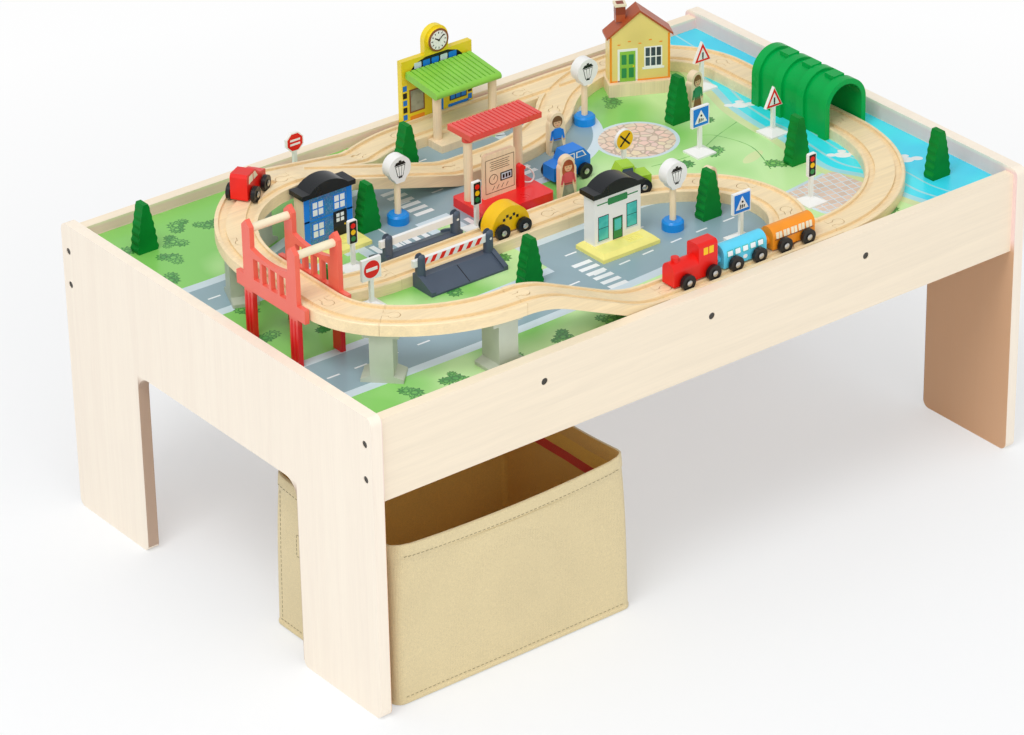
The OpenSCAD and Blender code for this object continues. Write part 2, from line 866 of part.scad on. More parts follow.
// The raised switch joins two bends that end side by side, each cut off at the mitre of the ramps
module raised_switch() {
  inner_mid = [at_left_switch_inner.x, at_left_switch_inner.y - switch_inner_r];
  start = 2 * half_turn + asin(track_gap / switch_inner_r);
  back = 2 * half_turn + short_turn + asin(track_gap / curve_r);
  end = 4 * half_turn - short_turn;
  mitre_r = curve_r - back_apex_l * tan(mitre_turn);
  difference() {
    linear_extrude(track_t)
      polygon(concat(
        arc_points(loop_mid, curve_r + track_w / 2, end, back),
        [
          [loop_mid.x + mitre_r * cos(back), loop_mid.y + mitre_r * sin(back)],
          [at_left_switch_inner.x - track_gap, at_left_switch_inner.y + middle_apex_l * tan(mitre_turn)],
        ],
        arc_points(inner_mid, switch_inner_r - track_w / 2, start, end)
      ));
    bent_groove(loop_mid, curve_r, back - over_turn, end + over_turn);
    bent_groove(inner_mid, switch_inner_r, start - over_turn, end + over_turn);
    place(at_left_switch, 0) socket_hole();
    place(at_left_switch_inner, 0) socket_hole();
  }
  place(at_left_short, 0) peg();
}

module straight_tracks() {
  color("wheat") {
    place(at_front_straight) straight_piece(at_front_switch.x - at_front_straight.x);
    place(at_right_straight) straight_piece(right_straight_l);
    place(at_back_straight) straight_piece(at_back_straight.x - at_kink.x);
    place(at_bridge, raised_z) straight_piece(bridge_deck_l);
    place(at_middle_straight) straight_piece(middle_straight_l);
    place(at_inner_straight) straight_piece(inner_straight_l);
    place(at_inner_long) straight_piece(inner_long_l);
  }
}

module curved_tracks() {
  color("wheat") {
    place(at_right_loop) curved_piece(curve_r, 2 * half_turn);
    place(at_right_back) curved_piece(small_r, 2 * half_turn);
    place(at_kink) curved_piece(curve_r, short_turn);
    place(at_middle_curve) curved_piece(curve_r, -half_turn);
    place(at_inner_first) curved_piece(small_r, half_turn);
    place(at_inner_second) curved_piece(small_r, close_turn);
    place(at_inner_big) curved_piece(curve_r, half_turn);
    place(at_blind) curved_piece(curve_r, -close_turn, false);
    place(at_left_short, raised_z) curved_piece(curve_r, short_turn);
    place(at_corner_small, raised_z) curved_piece(small_r, half_turn);
    place(at_corner_big, raised_z) curved_piece(curve_r, half_turn);
  }
}

module ramp_tracks() {
  color("wheat") {
    place(at_front_ramp)
      difference() {
        mirrored_ramp(front_ramp_l);
        translate([0, 0, pier_h]) socket();
      }
    place(at_front_straight) peg();
    place(at_back_ramp)
      difference() {
        ramp_slab(back_ramp_l, back_blend_share);
        socket();
        translate([back_ramp_l, 0, 0]) mitre_side(back_ramp_l, back_apex_l, 1);
      }
    place(at_left_switch, raised_z) peg();
    place(at_middle_ramp)
      difference() {
        ramp_slab(middle_ramp_l, back_blend_share);
        socket();
        translate([middle_ramp_l, 0, 0]) mitre_side(middle_ramp_l, middle_apex_l, -1);
      }
    place(at_left_switch_inner, raised_z) peg();
  }
}

// A ramp that comes down along +X
module mirrored_ramp(length) {
  translate([length, 0, 0]) mirror([1, 0, 0]) ramp_slab(length, front_blend_share);
}

module switch_tracks() {
  color("wheat") {
    place(at_front_switch) switch_piece(front_switch_l, small_r, fork_turn);
    place(at_back_switch) switch_piece(back_switch_l, curve_r, half_turn);
    translate([0, 0, raised_z]) raised_switch();
  }
}

// A pier: a plate, a web and a spread foot
module pier() {
  upright(pier_depth) {
    translate([0, pier_h - pier_top_t]) round_rect(pier_top_w, pier_top_t, 0, 0);
    polygon([
      [-pier_foot_w / 2, 0], [pier_foot_w / 2, 0], [pier_foot_w / 2, pier_foot_t / 2],
      [pier_web_w / 2, pier_foot_t], [pier_web_w / 2, pier_h - pier_top_t],
      [-pier_web_w / 2, pier_h - pier_top_t], [-pier_web_w / 2, pier_foot_t],
      [-pier_foot_w / 2, pier_foot_t / 2],
    ]);
  }
}

module track_piers() {
  color("lightgray") {
    for (pose = [at_corner_big, at_left_short]) place(pose) pier();
    // Beside the ramps the piers stand wholly under the level track
    place(ahead(at_front_ramp, -pier_top_w / 2)) pier();
    place(ahead(at_left_switch, pier_top_w / 2)) pier();
  }
}

// Bridge

module bridge_side_outline() {
  chord = bridge_span - bridge_post_w;
  sag_r = (pow(bridge_span / 2, 2) + pow(bridge_sag, 2)) / (2 * bridge_sag);
  window_w = (chord - (window_count + 1) * window_bar) / window_count;
  for (side = [-1, 1])
    translate([side * bridge_span / 2, 0])
      polygon([
        [-bridge_post_w / 2, 0], [bridge_post_w / 2, 0],
        [bridge_post_w / 2, bridge_post_h - bridge_post_w / 2], [0, bridge_post_h],
        [-bridge_post_w / 2, bridge_post_h - bridge_post_w / 2],
      ]);
  translate([0, bridge_sill]) {
    translate([-bridge_beam_l / 2, 0]) square([bridge_beam_l, bridge_beam_h]);
    difference() {
      translate([-bridge_span / 2, 0]) square([bridge_span, bridge_panel_h]);
      translate([0, bridge_panel_h - bridge_sag + sag_r]) circle(sag_r);
      for (i = [0:window_count - 1])
        translate([-chord / 2 + window_bar + i * (window_w + window_bar), window_sill])
          square([window_w, window_h]);
    }
  }
}

// One side of the bridge, with fluted legs on its outer face
module bridge_side() {
  difference() {
    rotate([90, 0, 90]) linear_extrude(bridge_side_t) bridge_side_outline();
    for (post = [-1, 1], flute = [-1, 1])
      translate([0, post * bridge_span / 2 + flute * bridge_post_w / 5, flute_d])
        cylinder(d = flute_d, h = bridge_sill - 2 * flute_d);
  }
}

module bridge_sides() {
  color("tomato")
    translate([x_left, bridge_y, ground_z])
      for (side = [0, 1])
        mirror([side, 0, 0]) translate([-bridge_inner_w / 2 - bridge_side_t, 0, 0]) bridge_side();
}

module bridge_crossbars() {
  level = bridge_post_h - bridge_post_w / 2 - crossbar_d / 2;
  color("cornsilk")
    for (side = [-1, 1])
      translate([x_left, bridge_y + side * bridge_span / 2, ground_z + level])
        rotate([0, 90, 0]) cylinder(d = crossbar_d, h = bridge_inner_w, center = true);
}

// Tunnel

module arch(width, height) {
  intersection() {
    translate([-width / 2, 0]) square([width, height]);
    union() {
      translate([-width / 2, 0]) square([width, height - width / 2]);
      translate([0, height - width / 2]) circle(d = width);
    }
  }
}

module tunnel_shell(grow, from, length) {
  translate([0, from + length / 2, 0]) upright(length) arch(tunnel_w + 2 * grow, tunnel_h + grow);
}

module tunnel() {
  rib_step = (tunnel_l - tunnel_rib_l) / (tunnel_ribs - 1);
  color("green")
    translate([tunnel_x, tunnel_y, ground_z])
      difference() {
        union() {
          tunnel_shell(0, -tunnel_l / 2, tunnel_l);
          for (i = [0:tunnel_ribs - 1])
            tunnel_shell(tunnel_rib_t, -tunnel_l / 2 + i * rib_step, tunnel_rib_l);
          for (i = [0:tunnel_ribs - 2])
            translate([-lug_w / 2, -tunnel_l / 2 + i * rib_step + tunnel_rib_l, tunnel_h - lug_h])
              cube([lug_w, lug_l, 2 * lug_h]);
        }
        translate([0, 0, -cut])
          upright(tunnel_l + 2 * cut) arch(tunnel_inner_w, tunnel_h - tunnel_wall + cut);
      }
}

// Level crossing

// One ramp along X, climbing towards +Y to the track's top at Y = 0, with kerbs and two bollards
module crossing_ramp() {
  difference() {
    union() {
      crossing_slab(crossing_l, 0);
      for (side = [-1, 1]) {
        translate([side * (crossing_l - kerb_w) / 2, 0, 0]) crossing_slab(kerb_w, kerb_h);
        translate([side * bollard_x, -bollard_d / 2 - loose, 0]) bollard();
      }
    }
    translate([bollard_x, 0, pivot_h])
      rotate([90, 0, 0]) cylinder(d = barrier_pin_d + 2 * axle_clear, h = crossing_d);
  }
}

module crossing_slab(length, rise) {
  translate([-length / 2, 0, 0])
    rotate([90, 0, 90])
      linear_extrude(length)
        polygon([
          [-crossing_d, 0], [0, 0], [0, track_t + rise], [-crossing_flat, track_t + rise],
          [-crossing_d, crossing_lip + rise],
        ]);
}

// A bollard with a domed top and a slot for the barrier
module bollard() {
  difference() {
    union() {
      cylinder(d = bollard_d, h = bollard_h - bollard_d / 2);
      translate([0, 0, bollard_h - bollard_d / 2]) sphere(d = bollard_d);
    }
    translate([-bollard_d, -barrier_t / 2 - barrier_gap, pivot_h - barrier_h / 2 - barrier_gap])
      cube([2 * bollard_d, barrier_t + 2 * barrier_gap, bollard_h]);
  }
}

// The bar of a barrier, which runs from its pivot at the origin towards -X
module barrier() {
  length = 2 * bollard_x + barrier_over;
  upright(barrier_t) {
    circle(d = barrier_h);
    translate([-length, -barrier_h / 2]) square([length, barrier_h]);
  }
  rotate([90, 0, 0]) cylinder(d = barrier_pin_d, h = bollard_d - 2 * loose, center = true);
}

module crossing_places() {
  translate([crossing_x, y_inner - track_w / 2 - loose, ground_z]) children(0);
  translate([crossing_x, y_inner + track_w / 2 + loose, ground_z]) mirror([0, 1, 0]) children(0);
}

module crossing_deck() {
  color("darkslategray") crossing_places() crossing_ramp();
}

// Puts a barrier on its pivot in front of the track or behind it
module barrier_at(side) {
  aside = track_w / 2 + 2 * loose + bollard_d / 2;
  translate([crossing_x + bollard_x, y_inner + side * aside, ground_z + pivot_h]) barrier();
}

module barrier_front() {
  color("white") barrier_at(-1);
}

module barrier_back() {
  color("white") barrier_at(1);
}

// Station

module station_wall() {
  color("gold")
    translate([station_x, board_w / 2 - loose - station_wall_t / 2, ground_z]) {
      upright(station_wall_t) {
        translate([-station_l / 2, 0]) square([station_l, station_h]);
        translate([-clock_d / 2 - clock_rim, station_h - clock_d])
          square([clock_d + 2 * clock_rim, clock_d + clock_lift]);
        translate([0, station_h + clock_lift]) circle(d = clock_d + 2 * clock_rim);
      }
      translate([0, -station_wall_t / 2 - clock_rim / 2, station_h + clock_lift])
        upright(clock_rim + cut) circle(d = clock_d);
    }
}

// The canopy slopes down from the wall, with grooves across it
module station_roof() {
  rib_step = canopy_l / canopy_ribs;
  color("limegreen")
    translate([station_x, canopy_back_y, ground_z + canopy_z])
      rotate([canopy_slope, 0, 0])
        difference() {
          union() {
            translate([-canopy_l / 2, -canopy_d, 0]) cube([canopy_l, canopy_d, canopy_t]);
            translate([0, -canopy_d, canopy_t / 2])
              rotate([0, 90, 0]) cylinder(d = canopy_t, h = canopy_l, center = true);
          }
          for (i = [1:canopy_ribs - 1])
            translate([i * rib_step - canopy_l / 2 - rib_groove_w / 2, -canopy_d, canopy_t - rib_groove_d])
              cube([rib_groove_w, canopy_d + cut, rib_groove_d + cut]);
        }
}

// Underside of the canopy over a place on the platform
function canopy_under(y) = canopy_z - (canopy_back_y - y) * tan(canopy_slope);

// The station's platform and the cottage's base
module wood_bases() {
  color("burlywood") {
    translate([station_x - platform_l / 2, platform_y - platform_d / 2, ground_z])
      cube([platform_l, platform_d, platform_t]);
    place(at_house)
      translate([-house_w / 2 - house_base_rim, -house_base_front, 0])
        cube([house_w + 2 * house_base_rim, house_d + house_base_front + house_base_rim, house_base_t]);
  }
}

// The posts of the station, the fuel station and the lamps
module wood_posts() {
  color("wheat") {
    for (side = [-1, 1])
      translate([station_x + side * canopy_post_x, canopy_post_y, ground_z + platform_t])
        cylinder(d = post_d, h = canopy_under(canopy_post_y - post_d / 2) - platform_t);
    for (shares = fuel_post_shares)
      translate([fuel_x + shares.x * fuel_l, fuel_y + shares.y * fuel_d, ground_z + fuel_t])
        cylinder(d = post_d, h = fuel_roof_z - fuel_cap_h - fuel_t);
    spots(lamp_shares, lamp_base_h) cylinder(d = lamp_post_d, h = lamp_post_h);
  }
}

// Fuel station, with its pump's nozzle on the base

module fuel_base() {
  color("red")
    translate([fuel_x, fuel_y, ground_z]) {
      translate([0, -fuel_d / 2, 0])
        linear_extrude(fuel_t) round_rect(fuel_l, fuel_d, fuel_corner_r, fuel_corner_r);
      translate([pump_x, pump_y, fuel_t - cut])
        upright(pump_t) {
          round_rect(pump_w, pump_h, 0, pump_w / 2);
          translate([pump_w / 2, pump_h - pump_w]) round_rect(pump_w / 2, pump_w / 2, 0, 0);
        }
    }
}

module fuel_roof() {
  rib_step = fuel_roof_l / fuel_ribs;
  color("crimson")
    translate([fuel_x + fuel_roof_x, fuel_y + fuel_roof_y, ground_z + fuel_roof_z]) {
      difference() {
        translate([-fuel_roof_l / 2, -fuel_roof_d / 2, 0]) cube([fuel_roof_l, fuel_roof_d, fuel_roof_t]);
        for (i = [1:fuel_ribs - 1])
          translate([i * rib_step - fuel_roof_l / 2 - rib_groove_w / 2, 0, fuel_roof_t - rib_groove_d])
            translate([0, -fuel_roof_d / 2 - cut, 0])
              cube([rib_groove_w, fuel_roof_d + 2 * cut, rib_groove_d + cut]);
      }
      for (shares = fuel_post_shares)
        translate([shares.x * fuel_l - fuel_roof_x, shares.y * fuel_d - fuel_roof_y, -fuel_cap_h])
          cylinder(d = post_d + 2 * fuel_cap_rim, h = fuel_cap_h + cut);
    }
}

module fuel_panel() {
  color("navajowhite")
    translate([fuel_x + fuel_panel_x, fuel_y + fuel_panel_y, ground_z + fuel_t])
      upright(fuel_panel_t) round_rect(fuel_panel_w, fuel_panel_h, 0, fuel_panel_t);
}

// The hose is one tube swept along its route, which is given from the pump's middle
function hose_at(share) = let (
  last = len(hose_route) - 1,
  i = min(floor(share * last), last - 1),
  t = share * last - i,
  a = hose_route[max(i - 1, 0)],
  b = hose_route[i],
  c = hose_route[i + 1],
  d = hose_route[min(i + 2, last)]
) b + (c - a) * t / 2
  + (2 * a - 5 * b + 4 * c - d) * pow(t, 2) / 2
  + (3 * b - a - 3 * c + d) * pow(t, 3) / 2;

function hose_ring(i) = let (
  step = 1 / hose_rings,
  here = hose_at(i * step),
  between = hose_at((i + 1) * step) - hose_at((i - 1) * step),
  along = i == 0 ? [1, 0, 0] : i == hose_rings ? [-1, 0, 0] : between,
  w = along / norm(along),
  u = cross([0, 1, 0], w) / norm(cross([0, 1, 0], w)),
  v = cross(w, u)
) [
  for (k = [0:hose_sides - 1])
    let (angle = k * 8 * half_turn / hose_sides) here + hose_d / 2 * (u * cos(angle) + v * sin(angle))
];

module fuel_hose() {
  points = [for (i = [0:hose_rings], point = hose_ring(i)) point];
  sides = [
    for (i = [0:hose_rings - 1], k = [0:hose_sides - 1])
      let (a = i * hose_sides + k, b = i * hose_sides + (k + 1) % hose_sides)
        each [[a, a + hose_sides, b], [b, a + hose_sides, b + hose_sides]]
  ];
  first = [for (k = [1:hose_sides - 2]) [0, k, k + 1]];
  base = hose_rings * hose_sides;
  last = [for (k = [1:hose_sides - 2]) [base, base + k + 1, base + k]];
  color("white")
    translate([fuel_x + pump_x, fuel_y + pump_y, ground_z + fuel_t])
      polyhedron(points = points, faces = concat(sides, first, last));
}

// Cottage

module house_body() {
  color("khaki")
    place(at_house, ground_z + house_base_t)
      translate([0, house_d / 2, 0])
        upright(house_d)
          polygon([
            [-house_w / 2, 0], [house_w / 2, 0], [house_w / 2, house_eaves_h],
            [0, house_eaves_h + house_gable_h], [-house_w / 2, house_eaves_h],
          ]);
}

module house_roof() {
  slope = house_gable_h / (house_w / 2);
  drop = house_over * slope;
  color("sienna")
    place(at_house, ground_z + house_base_t + house_eaves_h)
      translate([0, house_d / 2, 0]) {
        upright(house_d + house_over)
          polygon([
            [-house_w / 2 - house_over, -drop], [0, house_gable_h], [house_w / 2 + house_over, -drop],
            [house_w / 2 + house_over, house_roof_t - drop], [0, house_gable_h + house_roof_t],
            [-house_w / 2 - house_over, house_roof_t - drop],
          ]);
        translate([-chimney_x, 0, house_gable_h - (chimney_x - chimney_w / 2) * slope])
          linear_extrude(chimney_h) square(chimney_w, center = true);
      }
}

// Town house and shop, each with a bevelled base and a domed roof

module shop_base() {
  translate([0, shop_base_d / 2 - shop_base_front, 0])
    bevel_block(shop_base_w, shop_base_d, shop_base_t, shop_base_t / 2, shop_base_t / 2);
}

module shop_bases() {
  color("khaki") spots(shop_shares, 0) shop_base();
}

module shop_box() {
  linear_extrude(shop_h) square([shop_w, shop_d], center = true);
}

module townhouse_body() {
  color("royalblue") spots([shop_shares[0]], shop_base_t) shop_box();
}

module shop_body() {
  color("white") spots([shop_shares[1]], shop_base_t) shop_box();
}

module shop_roofs() {
  rise = shop_roof_h - shop_brim_t;
  dome_r = (pow(shop_dome_w / 2, 2) + pow(rise, 2)) / (2 * rise);
  color("black")
    spots(shop_shares, shop_base_t + shop_h)
      upright(shop_d + 2 * shop_over) {
        translate([-shop_w / 2 - shop_over, 0]) square([shop_w + 2 * shop_over, shop_brim_t]);
        intersection() {
          translate([0, shop_roof_h - dome_r]) circle(dome_r, $fn = 128);
          translate([-shop_dome_w / 2, 0]) square([shop_dome_w, shop_roof_h + cut]);
        }
      }
}

// Trees

// Half width of a tree at a share of its height: a cone with rippled edges
function tree_half(share) = tree_w / 2 * (1 - (1 - tree_tip_share) * pow(share, tree_taper))
  * (1 - tree_wave_share * (1 + cos(share * tree_tiers * 360)) / 2);

module tree_outline() {
  polygon([
    for (side = [-1, 1], step = [0:tree_steps])
      let (share = side < 0 ? 1 - step / tree_steps : step / tree_steps)
        [side * tree_half(share), share * tree_h]
  ]);
}

module trees() {
  color("forestgreen")
    spots(tree_shares, 0) upright(tree_t) tree_outline();
}

// Lamps

module lamp_bases() {
  color("dodgerblue")
    spots(lamp_shares, 0) {
      cylinder(d = lamp_base_d, h = lamp_base_h - lamp_edge);
      translate([0, 0, lamp_base_h - lamp_edge])
        cylinder(d1 = lamp_base_d, d2 = lamp_base_d - 2 * lamp_edge, h = lamp_edge);
    }
}

module lamp_heads() {
  color("aliceblue")
    spots(lamp_shares, lamp_base_h + lamp_post_h)
      upright(lamp_head_t) {
        translate([0, lamp_head_d / 2 + lamp_edge]) circle(d = lamp_head_d);
        polygon([
          [-lamp_neck_w / 2, 0], [lamp_neck_w / 2, 0],
          [lamp_head_d / 2 - lamp_edge, lamp_head_d / 2 - lamp_edge],
          [lamp_edge - lamp_head_d / 2, lamp_head_d / 2 - lamp_edge],
        ]);
      }
}

// Road signs and traffic lights

module sign_bases() {
  color("white")
    spots(sign_shares, 0)
      bevel_block(sign_base_w, sign_base_w, sign_base_h, sign_slope_w, sign_slope_h);
}

// A post with the plate that its children draw
module sign() {
  upright(sign_t) {
    translate([-sign_post_w / 2, 0]) square([sign_post_w, sign_rise]);
    translate([0, sign_rise]) children();
  }
}

module road_signs() {
  color("white") {
    spots(round_sign_shares, sign_base_h) sign() circle(d = sign_w);
    spots(square_sign_shares, sign_base_h) sign() square(sign_w, center = true);
    spots(octagon_sign_shares, sign_base_h) sign() rotate(half_turn / 2) circle(d = sign_w, $fn = 8);
    spots(triangle_sign_shares, sign_base_h)
      sign() polygon([[-sign_w / 2, -sign_w / 2], [sign_w / 2, -sign_w / 2], [0, sign_w / 2]]);
    spots(light_shares, sign_base_h)
      sign() translate([0, -light_h / 2]) round_rect(light_w, light_h, light_r, light_r);
  }
}

// Figures

module figures() {
  color("tan")
    for (i = [0:len(figure_shares) - 1])
      place([spot(figure_shares[i]).x, spot(figure_shares[i]).y, figure_turns[i]])
        upright(figure_t) {
          round_rect(figure_w, figure_h - figure_head_d / 2, 0, figure_w / 3);
          translate([0, figure_h - figure_head_d / 2]) circle(d = figure_head_d);
        }
}

// Vehicles: each faces +X, with the top of the track at Z = 0

// An axle with its two wheels, at a distance ahead of the vehicle's middle
module axle(pose, forward, level) {
  color("black")
    place(ahead(pose, forward), level + axle_h)
      rotate([90, 0, 0]) {
        cylinder(d = axle_d, h = gauge + wheel_t, center = true);
        for (side = [-1, 1]) {
          translate([0, 0, side * gauge / 2]) cylinder(d = wheel_d, h = wheel_t, center = true);
          translate([0, 0, side * (gauge + wheel_t) / 2]) cylinder(d = hub_d, h = hub_h, center = true);
        }
      }
}

module axle_holes(forwards) {
  for (forward = forwards)
    translate([forward, 0, axle_h])
      rotate([90, 0, 0]) cylinder(d = axle_d + 2 * axle_clear, h = body_w + 2 * cut, center = true);
}

// A body with a rounded roof, along +X from the origin
module rounded_body(length, height) {
  translate([0, 0, body_rise]) rotate([90, 0, 90]) linear_extrude(length) arch(body_w, height);
}

// The magnet that couples a vehicle to the next, at one of its ends
module magnet(end) {
  translate([end, 0, magnet_z]) rotate([0, 90, 0]) cylinder(d = magnet_d, h = 2 * magnet_t, center = true);
}

module loco_body() {
  color("red")
    place(at_loco, track_top)
      difference() {
        union() {
          translate([cab_l - loco_l / 2, 0, 0]) rounded_body(loco_l - cab_l, boiler_h);
          translate([-loco_l / 2, 0, body_rise])
            rotate([90, 0, 90]) linear_extrude(cab_l + cut) round_rect(body_w, cab_h, 0, cab_r);
          translate([loco_l / 2 - chimney_d, 0, body_rise])
            cylinder(d = chimney_d, h = boiler_h + chimney_rise);
          magnet(-loco_l / 2);
        }
        axle_holes(loco_axles);
      }
}

module coach_body() {
  difference() {
    union() {
      translate([-coach_l / 2, 0, 0]) rounded_body(coach_l, coach_h);
      for (side = [-1, 1]) magnet(side * coach_l / 2);
    }
    axle_holes(coach_axles);
  }
}

module blue_coach_body() {
  color("skyblue") place(at_blue_coach, track_top) coach_body();
}

module orange_coach_body() {
  color("orange") place(at_orange_coach, track_top) coach_body();
}

// A car's side view, given in shares of its length and height, cut to its width and drilled
module car_body(outline_shares) {
  difference() {
    translate([0, 0, body_rise])
      upright(body_w) polygon([for (shares = outline_shares) [shares.x * car_l, shares.y * car_h]]);
    axle_holes(car_axles);
  }
}

module red_car_body() {
  color("red") place(at_red_car, raised_z + track_t) car_body(hatch_shares);
}

module yellow_car_body() {
  dome_r = (pow(car_l / 2, 2) + pow(car_h, 2)) / (2 * car_h);
  color("gold")
    place(at_yellow_car, track_top)
      difference() {
        translate([0, 0, body_rise])
          upright(body_w)
            intersection() {
              translate([0, car_h - dome_r]) circle(dome_r, $fn = 128);
              translate([-car_l / 2, 0]) square([car_l, car_h + cut]);
            }
        axle_holes(car_axles);
      }
}

module blue_car_body() {
  color("dodgerblue") place(at_blue_car, board_car_z) car_body(jeep_shares);
}

module green_truck_body() {
  color("yellowgreen") place(at_green_truck, track_top) car_body(truck_shares);
}

module loco_front_axle() {
  axle(at_loco, loco_axles[0], track_top);
}

module loco_rear_axle() {
  axle(at_loco, loco_axles[1], track_top);
}

module blue_coach_front_axle() {
  axle(at_blue_coach, coach_axles[0], track_top);
}

module blue_coach_rear_axle() {
  axle(at_blue_coach, coach_axles[1], track_top);
}

module orange_coach_front_axle() {
  axle(at_orange_coach, coach_axles[0], track_top);
}

module orange_coach_rear_axle() {
  axle(at_orange_coach, coach_axles[1], track_top);
}

module red_car_front_axle() {
  axle(at_red_car, car_axles[0], raised_z + track_t);
}

module red_car_rear_axle() {
  axle(at_red_car, car_axles[1], raised_z + track_t);
}

module yellow_car_front_axle() {
  axle(at_yellow_car, car_axles[0], track_top);
}

module yellow_car_rear_axle() {
  axle(at_yellow_car, car_axles[1], track_top);
}

module blue_car_front_axle() {
  axle(at_blue_car, car_axles[0], board_car_z);
}

module blue_car_rear_axle() {
  axle(at_blue_car, car_axles[1], board_car_z);
}

module green_truck_front_axle() {
  axle(at_green_truck, car_axles[0], track_top);
}

module green_truck_rear_axle() {
  axle(at_green_truck, car_axles[1], track_top);
}

end_panel_left();
end_panel_right();
front_rail();
back_rail();
play_board();
board_battens();
frame_screws();
storage_bin();
straight_tracks();
curved_tracks();
ramp_tracks();
switch_tracks();
track_piers();
bridge_sides();
bridge_crossbars();
tunnel();
crossing_deck();
barrier_front();
barrier_back();
station_wall();
station_roof();
wood_bases();
wood_posts();
fuel_base();
fuel_roof();
fuel_panel();
fuel_hose();
house_body();
house_roof();
townhouse_body();
shop_body();
shop_roofs();
shop_bases();
trees();
lamp_bases();
lamp_heads();
sign_bases();
road_signs();
figures();
loco_body();
blue_coach_body();
orange_coach_body();
red_car_body();
yellow_car_body();
blue_car_body();
green_truck_body();
loco_front_axle();
loco_rear_axle();
blue_coach_front_axle();
blue_coach_rear_axle();
orange_coach_front_axle();
orange_coach_rear_axle();
red_car_front_axle();
red_car_rear_axle();
yellow_car_front_axle();
yellow_car_rear_axle();
blue_car_front_axle();
blue_car_rear_axle();
green_truck_front_axle();
green_truck_rear_axle();
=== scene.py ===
"""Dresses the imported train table: prints, sewn bin, hose, toy trim, finishes, stage and camera."""

import math

import bmesh
import bpy
from bpy.props import FloatProperty, FloatVectorProperty, PointerProperty
from mathutils import Matrix, Vector


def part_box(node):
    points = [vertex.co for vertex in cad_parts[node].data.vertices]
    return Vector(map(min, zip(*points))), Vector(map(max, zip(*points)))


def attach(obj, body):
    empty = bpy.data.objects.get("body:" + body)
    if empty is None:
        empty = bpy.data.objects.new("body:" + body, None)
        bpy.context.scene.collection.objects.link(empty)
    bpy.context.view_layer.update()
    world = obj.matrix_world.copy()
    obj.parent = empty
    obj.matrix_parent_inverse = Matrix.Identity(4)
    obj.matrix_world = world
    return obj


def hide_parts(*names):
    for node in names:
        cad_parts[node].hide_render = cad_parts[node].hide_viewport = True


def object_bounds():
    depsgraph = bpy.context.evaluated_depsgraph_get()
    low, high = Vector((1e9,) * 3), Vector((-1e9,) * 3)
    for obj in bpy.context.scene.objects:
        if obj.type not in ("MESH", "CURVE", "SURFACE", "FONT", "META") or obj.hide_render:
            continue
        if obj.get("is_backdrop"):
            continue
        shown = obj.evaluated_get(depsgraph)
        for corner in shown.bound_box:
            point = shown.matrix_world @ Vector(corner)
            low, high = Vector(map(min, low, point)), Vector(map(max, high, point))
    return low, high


bl_info = {
    "name": "Train Table",
    "version": (1, 0, 0),
    "blender": (4, 5, 0),
    "location": "3D View > Sidebar > Train Table",
    "description": "Prints, sewn bin, toy trim and finishes of a wooden train table",
    "category": "Object",
}

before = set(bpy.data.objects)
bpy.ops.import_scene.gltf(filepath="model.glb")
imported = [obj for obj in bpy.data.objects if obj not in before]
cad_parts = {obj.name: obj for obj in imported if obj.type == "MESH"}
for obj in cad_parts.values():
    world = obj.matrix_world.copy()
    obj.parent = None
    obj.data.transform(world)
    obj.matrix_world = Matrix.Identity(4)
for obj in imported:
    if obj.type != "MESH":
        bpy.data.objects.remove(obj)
CAD_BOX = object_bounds()

MM = 0.001
# Levels above the floor, in millimetres as every size below
BOARD_TOP = 300.0
TRACK_TOP = 312.0
RAISED_TOP = 364.0
# Thickness of one layer of print on a surface
PRINT = 0.15

# Drawing planes: X to the right and Y up as seen from outside, with Z out of the surface
FRONT = Matrix(((1, 0, 0, 0), (0, 0, -1, 0), (0, 1, 0, 0), (0, 0, 0, 1)))
BACK = Matrix(((-1, 0, 0, 0), (0, 0, 1, 0), (0, 1, 0, 0), (0, 0, 0, 1)))
RIGHT = Matrix(((0, 0, 1, 0), (1, 0, 0, 0), (0, 1, 0, 0), (0, 0, 0, 1)))
LEFT = Matrix(((0, 0, -1, 0), (-1, 0, 0, 0), (0, 1, 0, 0), (0, 0, 0, 1)))


def spot(across, back):
    """A place on the board, in shares of the track's rectangle, as the solids have it."""
    return -348.0 + across * 686.0, -217.0 + back * 427.0


LAMPS = [spot(0.321, 0.679), spot(0.728, 0.815), spot(0.609, 0.255)]
ROUND_SIGNS = [spot(0.66, 0.532)]
SQUARE_SIGNS = [spot(0.794, 0.515), spot(0.659, 0.112)]
ENTRY_SIGNS = [spot(0.1394, 0.382)]
OCTAGON_SIGNS = [spot(0.289, 1.012)]
TRIANGLE_SIGNS = [spot(0.941, 0.79), spot(0.92, 0.487)]
TRAFFIC_LIGHTS = [spot(0.185, 0.552), spot(0.391, 0.53), spot(0.813, 0.155)]
FIGURES = [
    (*spot(0.632, 0.731), -10), (*spot(0.554, 0.532), -10), (*spot(0.8776, 0.695), 10), (*spot(0.688, 0.279), 10),
]
HOUSE, HOUSE_TURN = spot(0.858, 0.862), -27
TOWNHOUSE = spot(0.201, 0.698)
SHOP = spot(0.515, 0.286)
FUEL = spot(0.473, 0.602)
STATION_X = spot(0.565, 0)[0]
CROSSING_X = spot(0.2856, 0)[0]
INNER_Y = -24.447

# Where prints lie on the solids: heights above the board, half thicknesses, and the station's faces
HOUSE_RISE, HOUSE_HALF = 14, 10
BLOCK_RISE, BLOCK_HALF, TOWNHOUSE_HALF_L = 8, 8, 28.5
SIGN_RISE, SIGN_HALF = 41, 1.75
LAMP_RISE, LAMP_HALF = 60, 6
FUEL_BASE_RISE, FUEL_PANEL_HALF = 10, 2
BARRIER_RISE, BARRIER_HALF = 27, 2
CLOCK_RISE, CLOCK_FACE_Y, STATION_FACE_Y = 92, 227.0, 230.5
FIGURE_HALF = 4

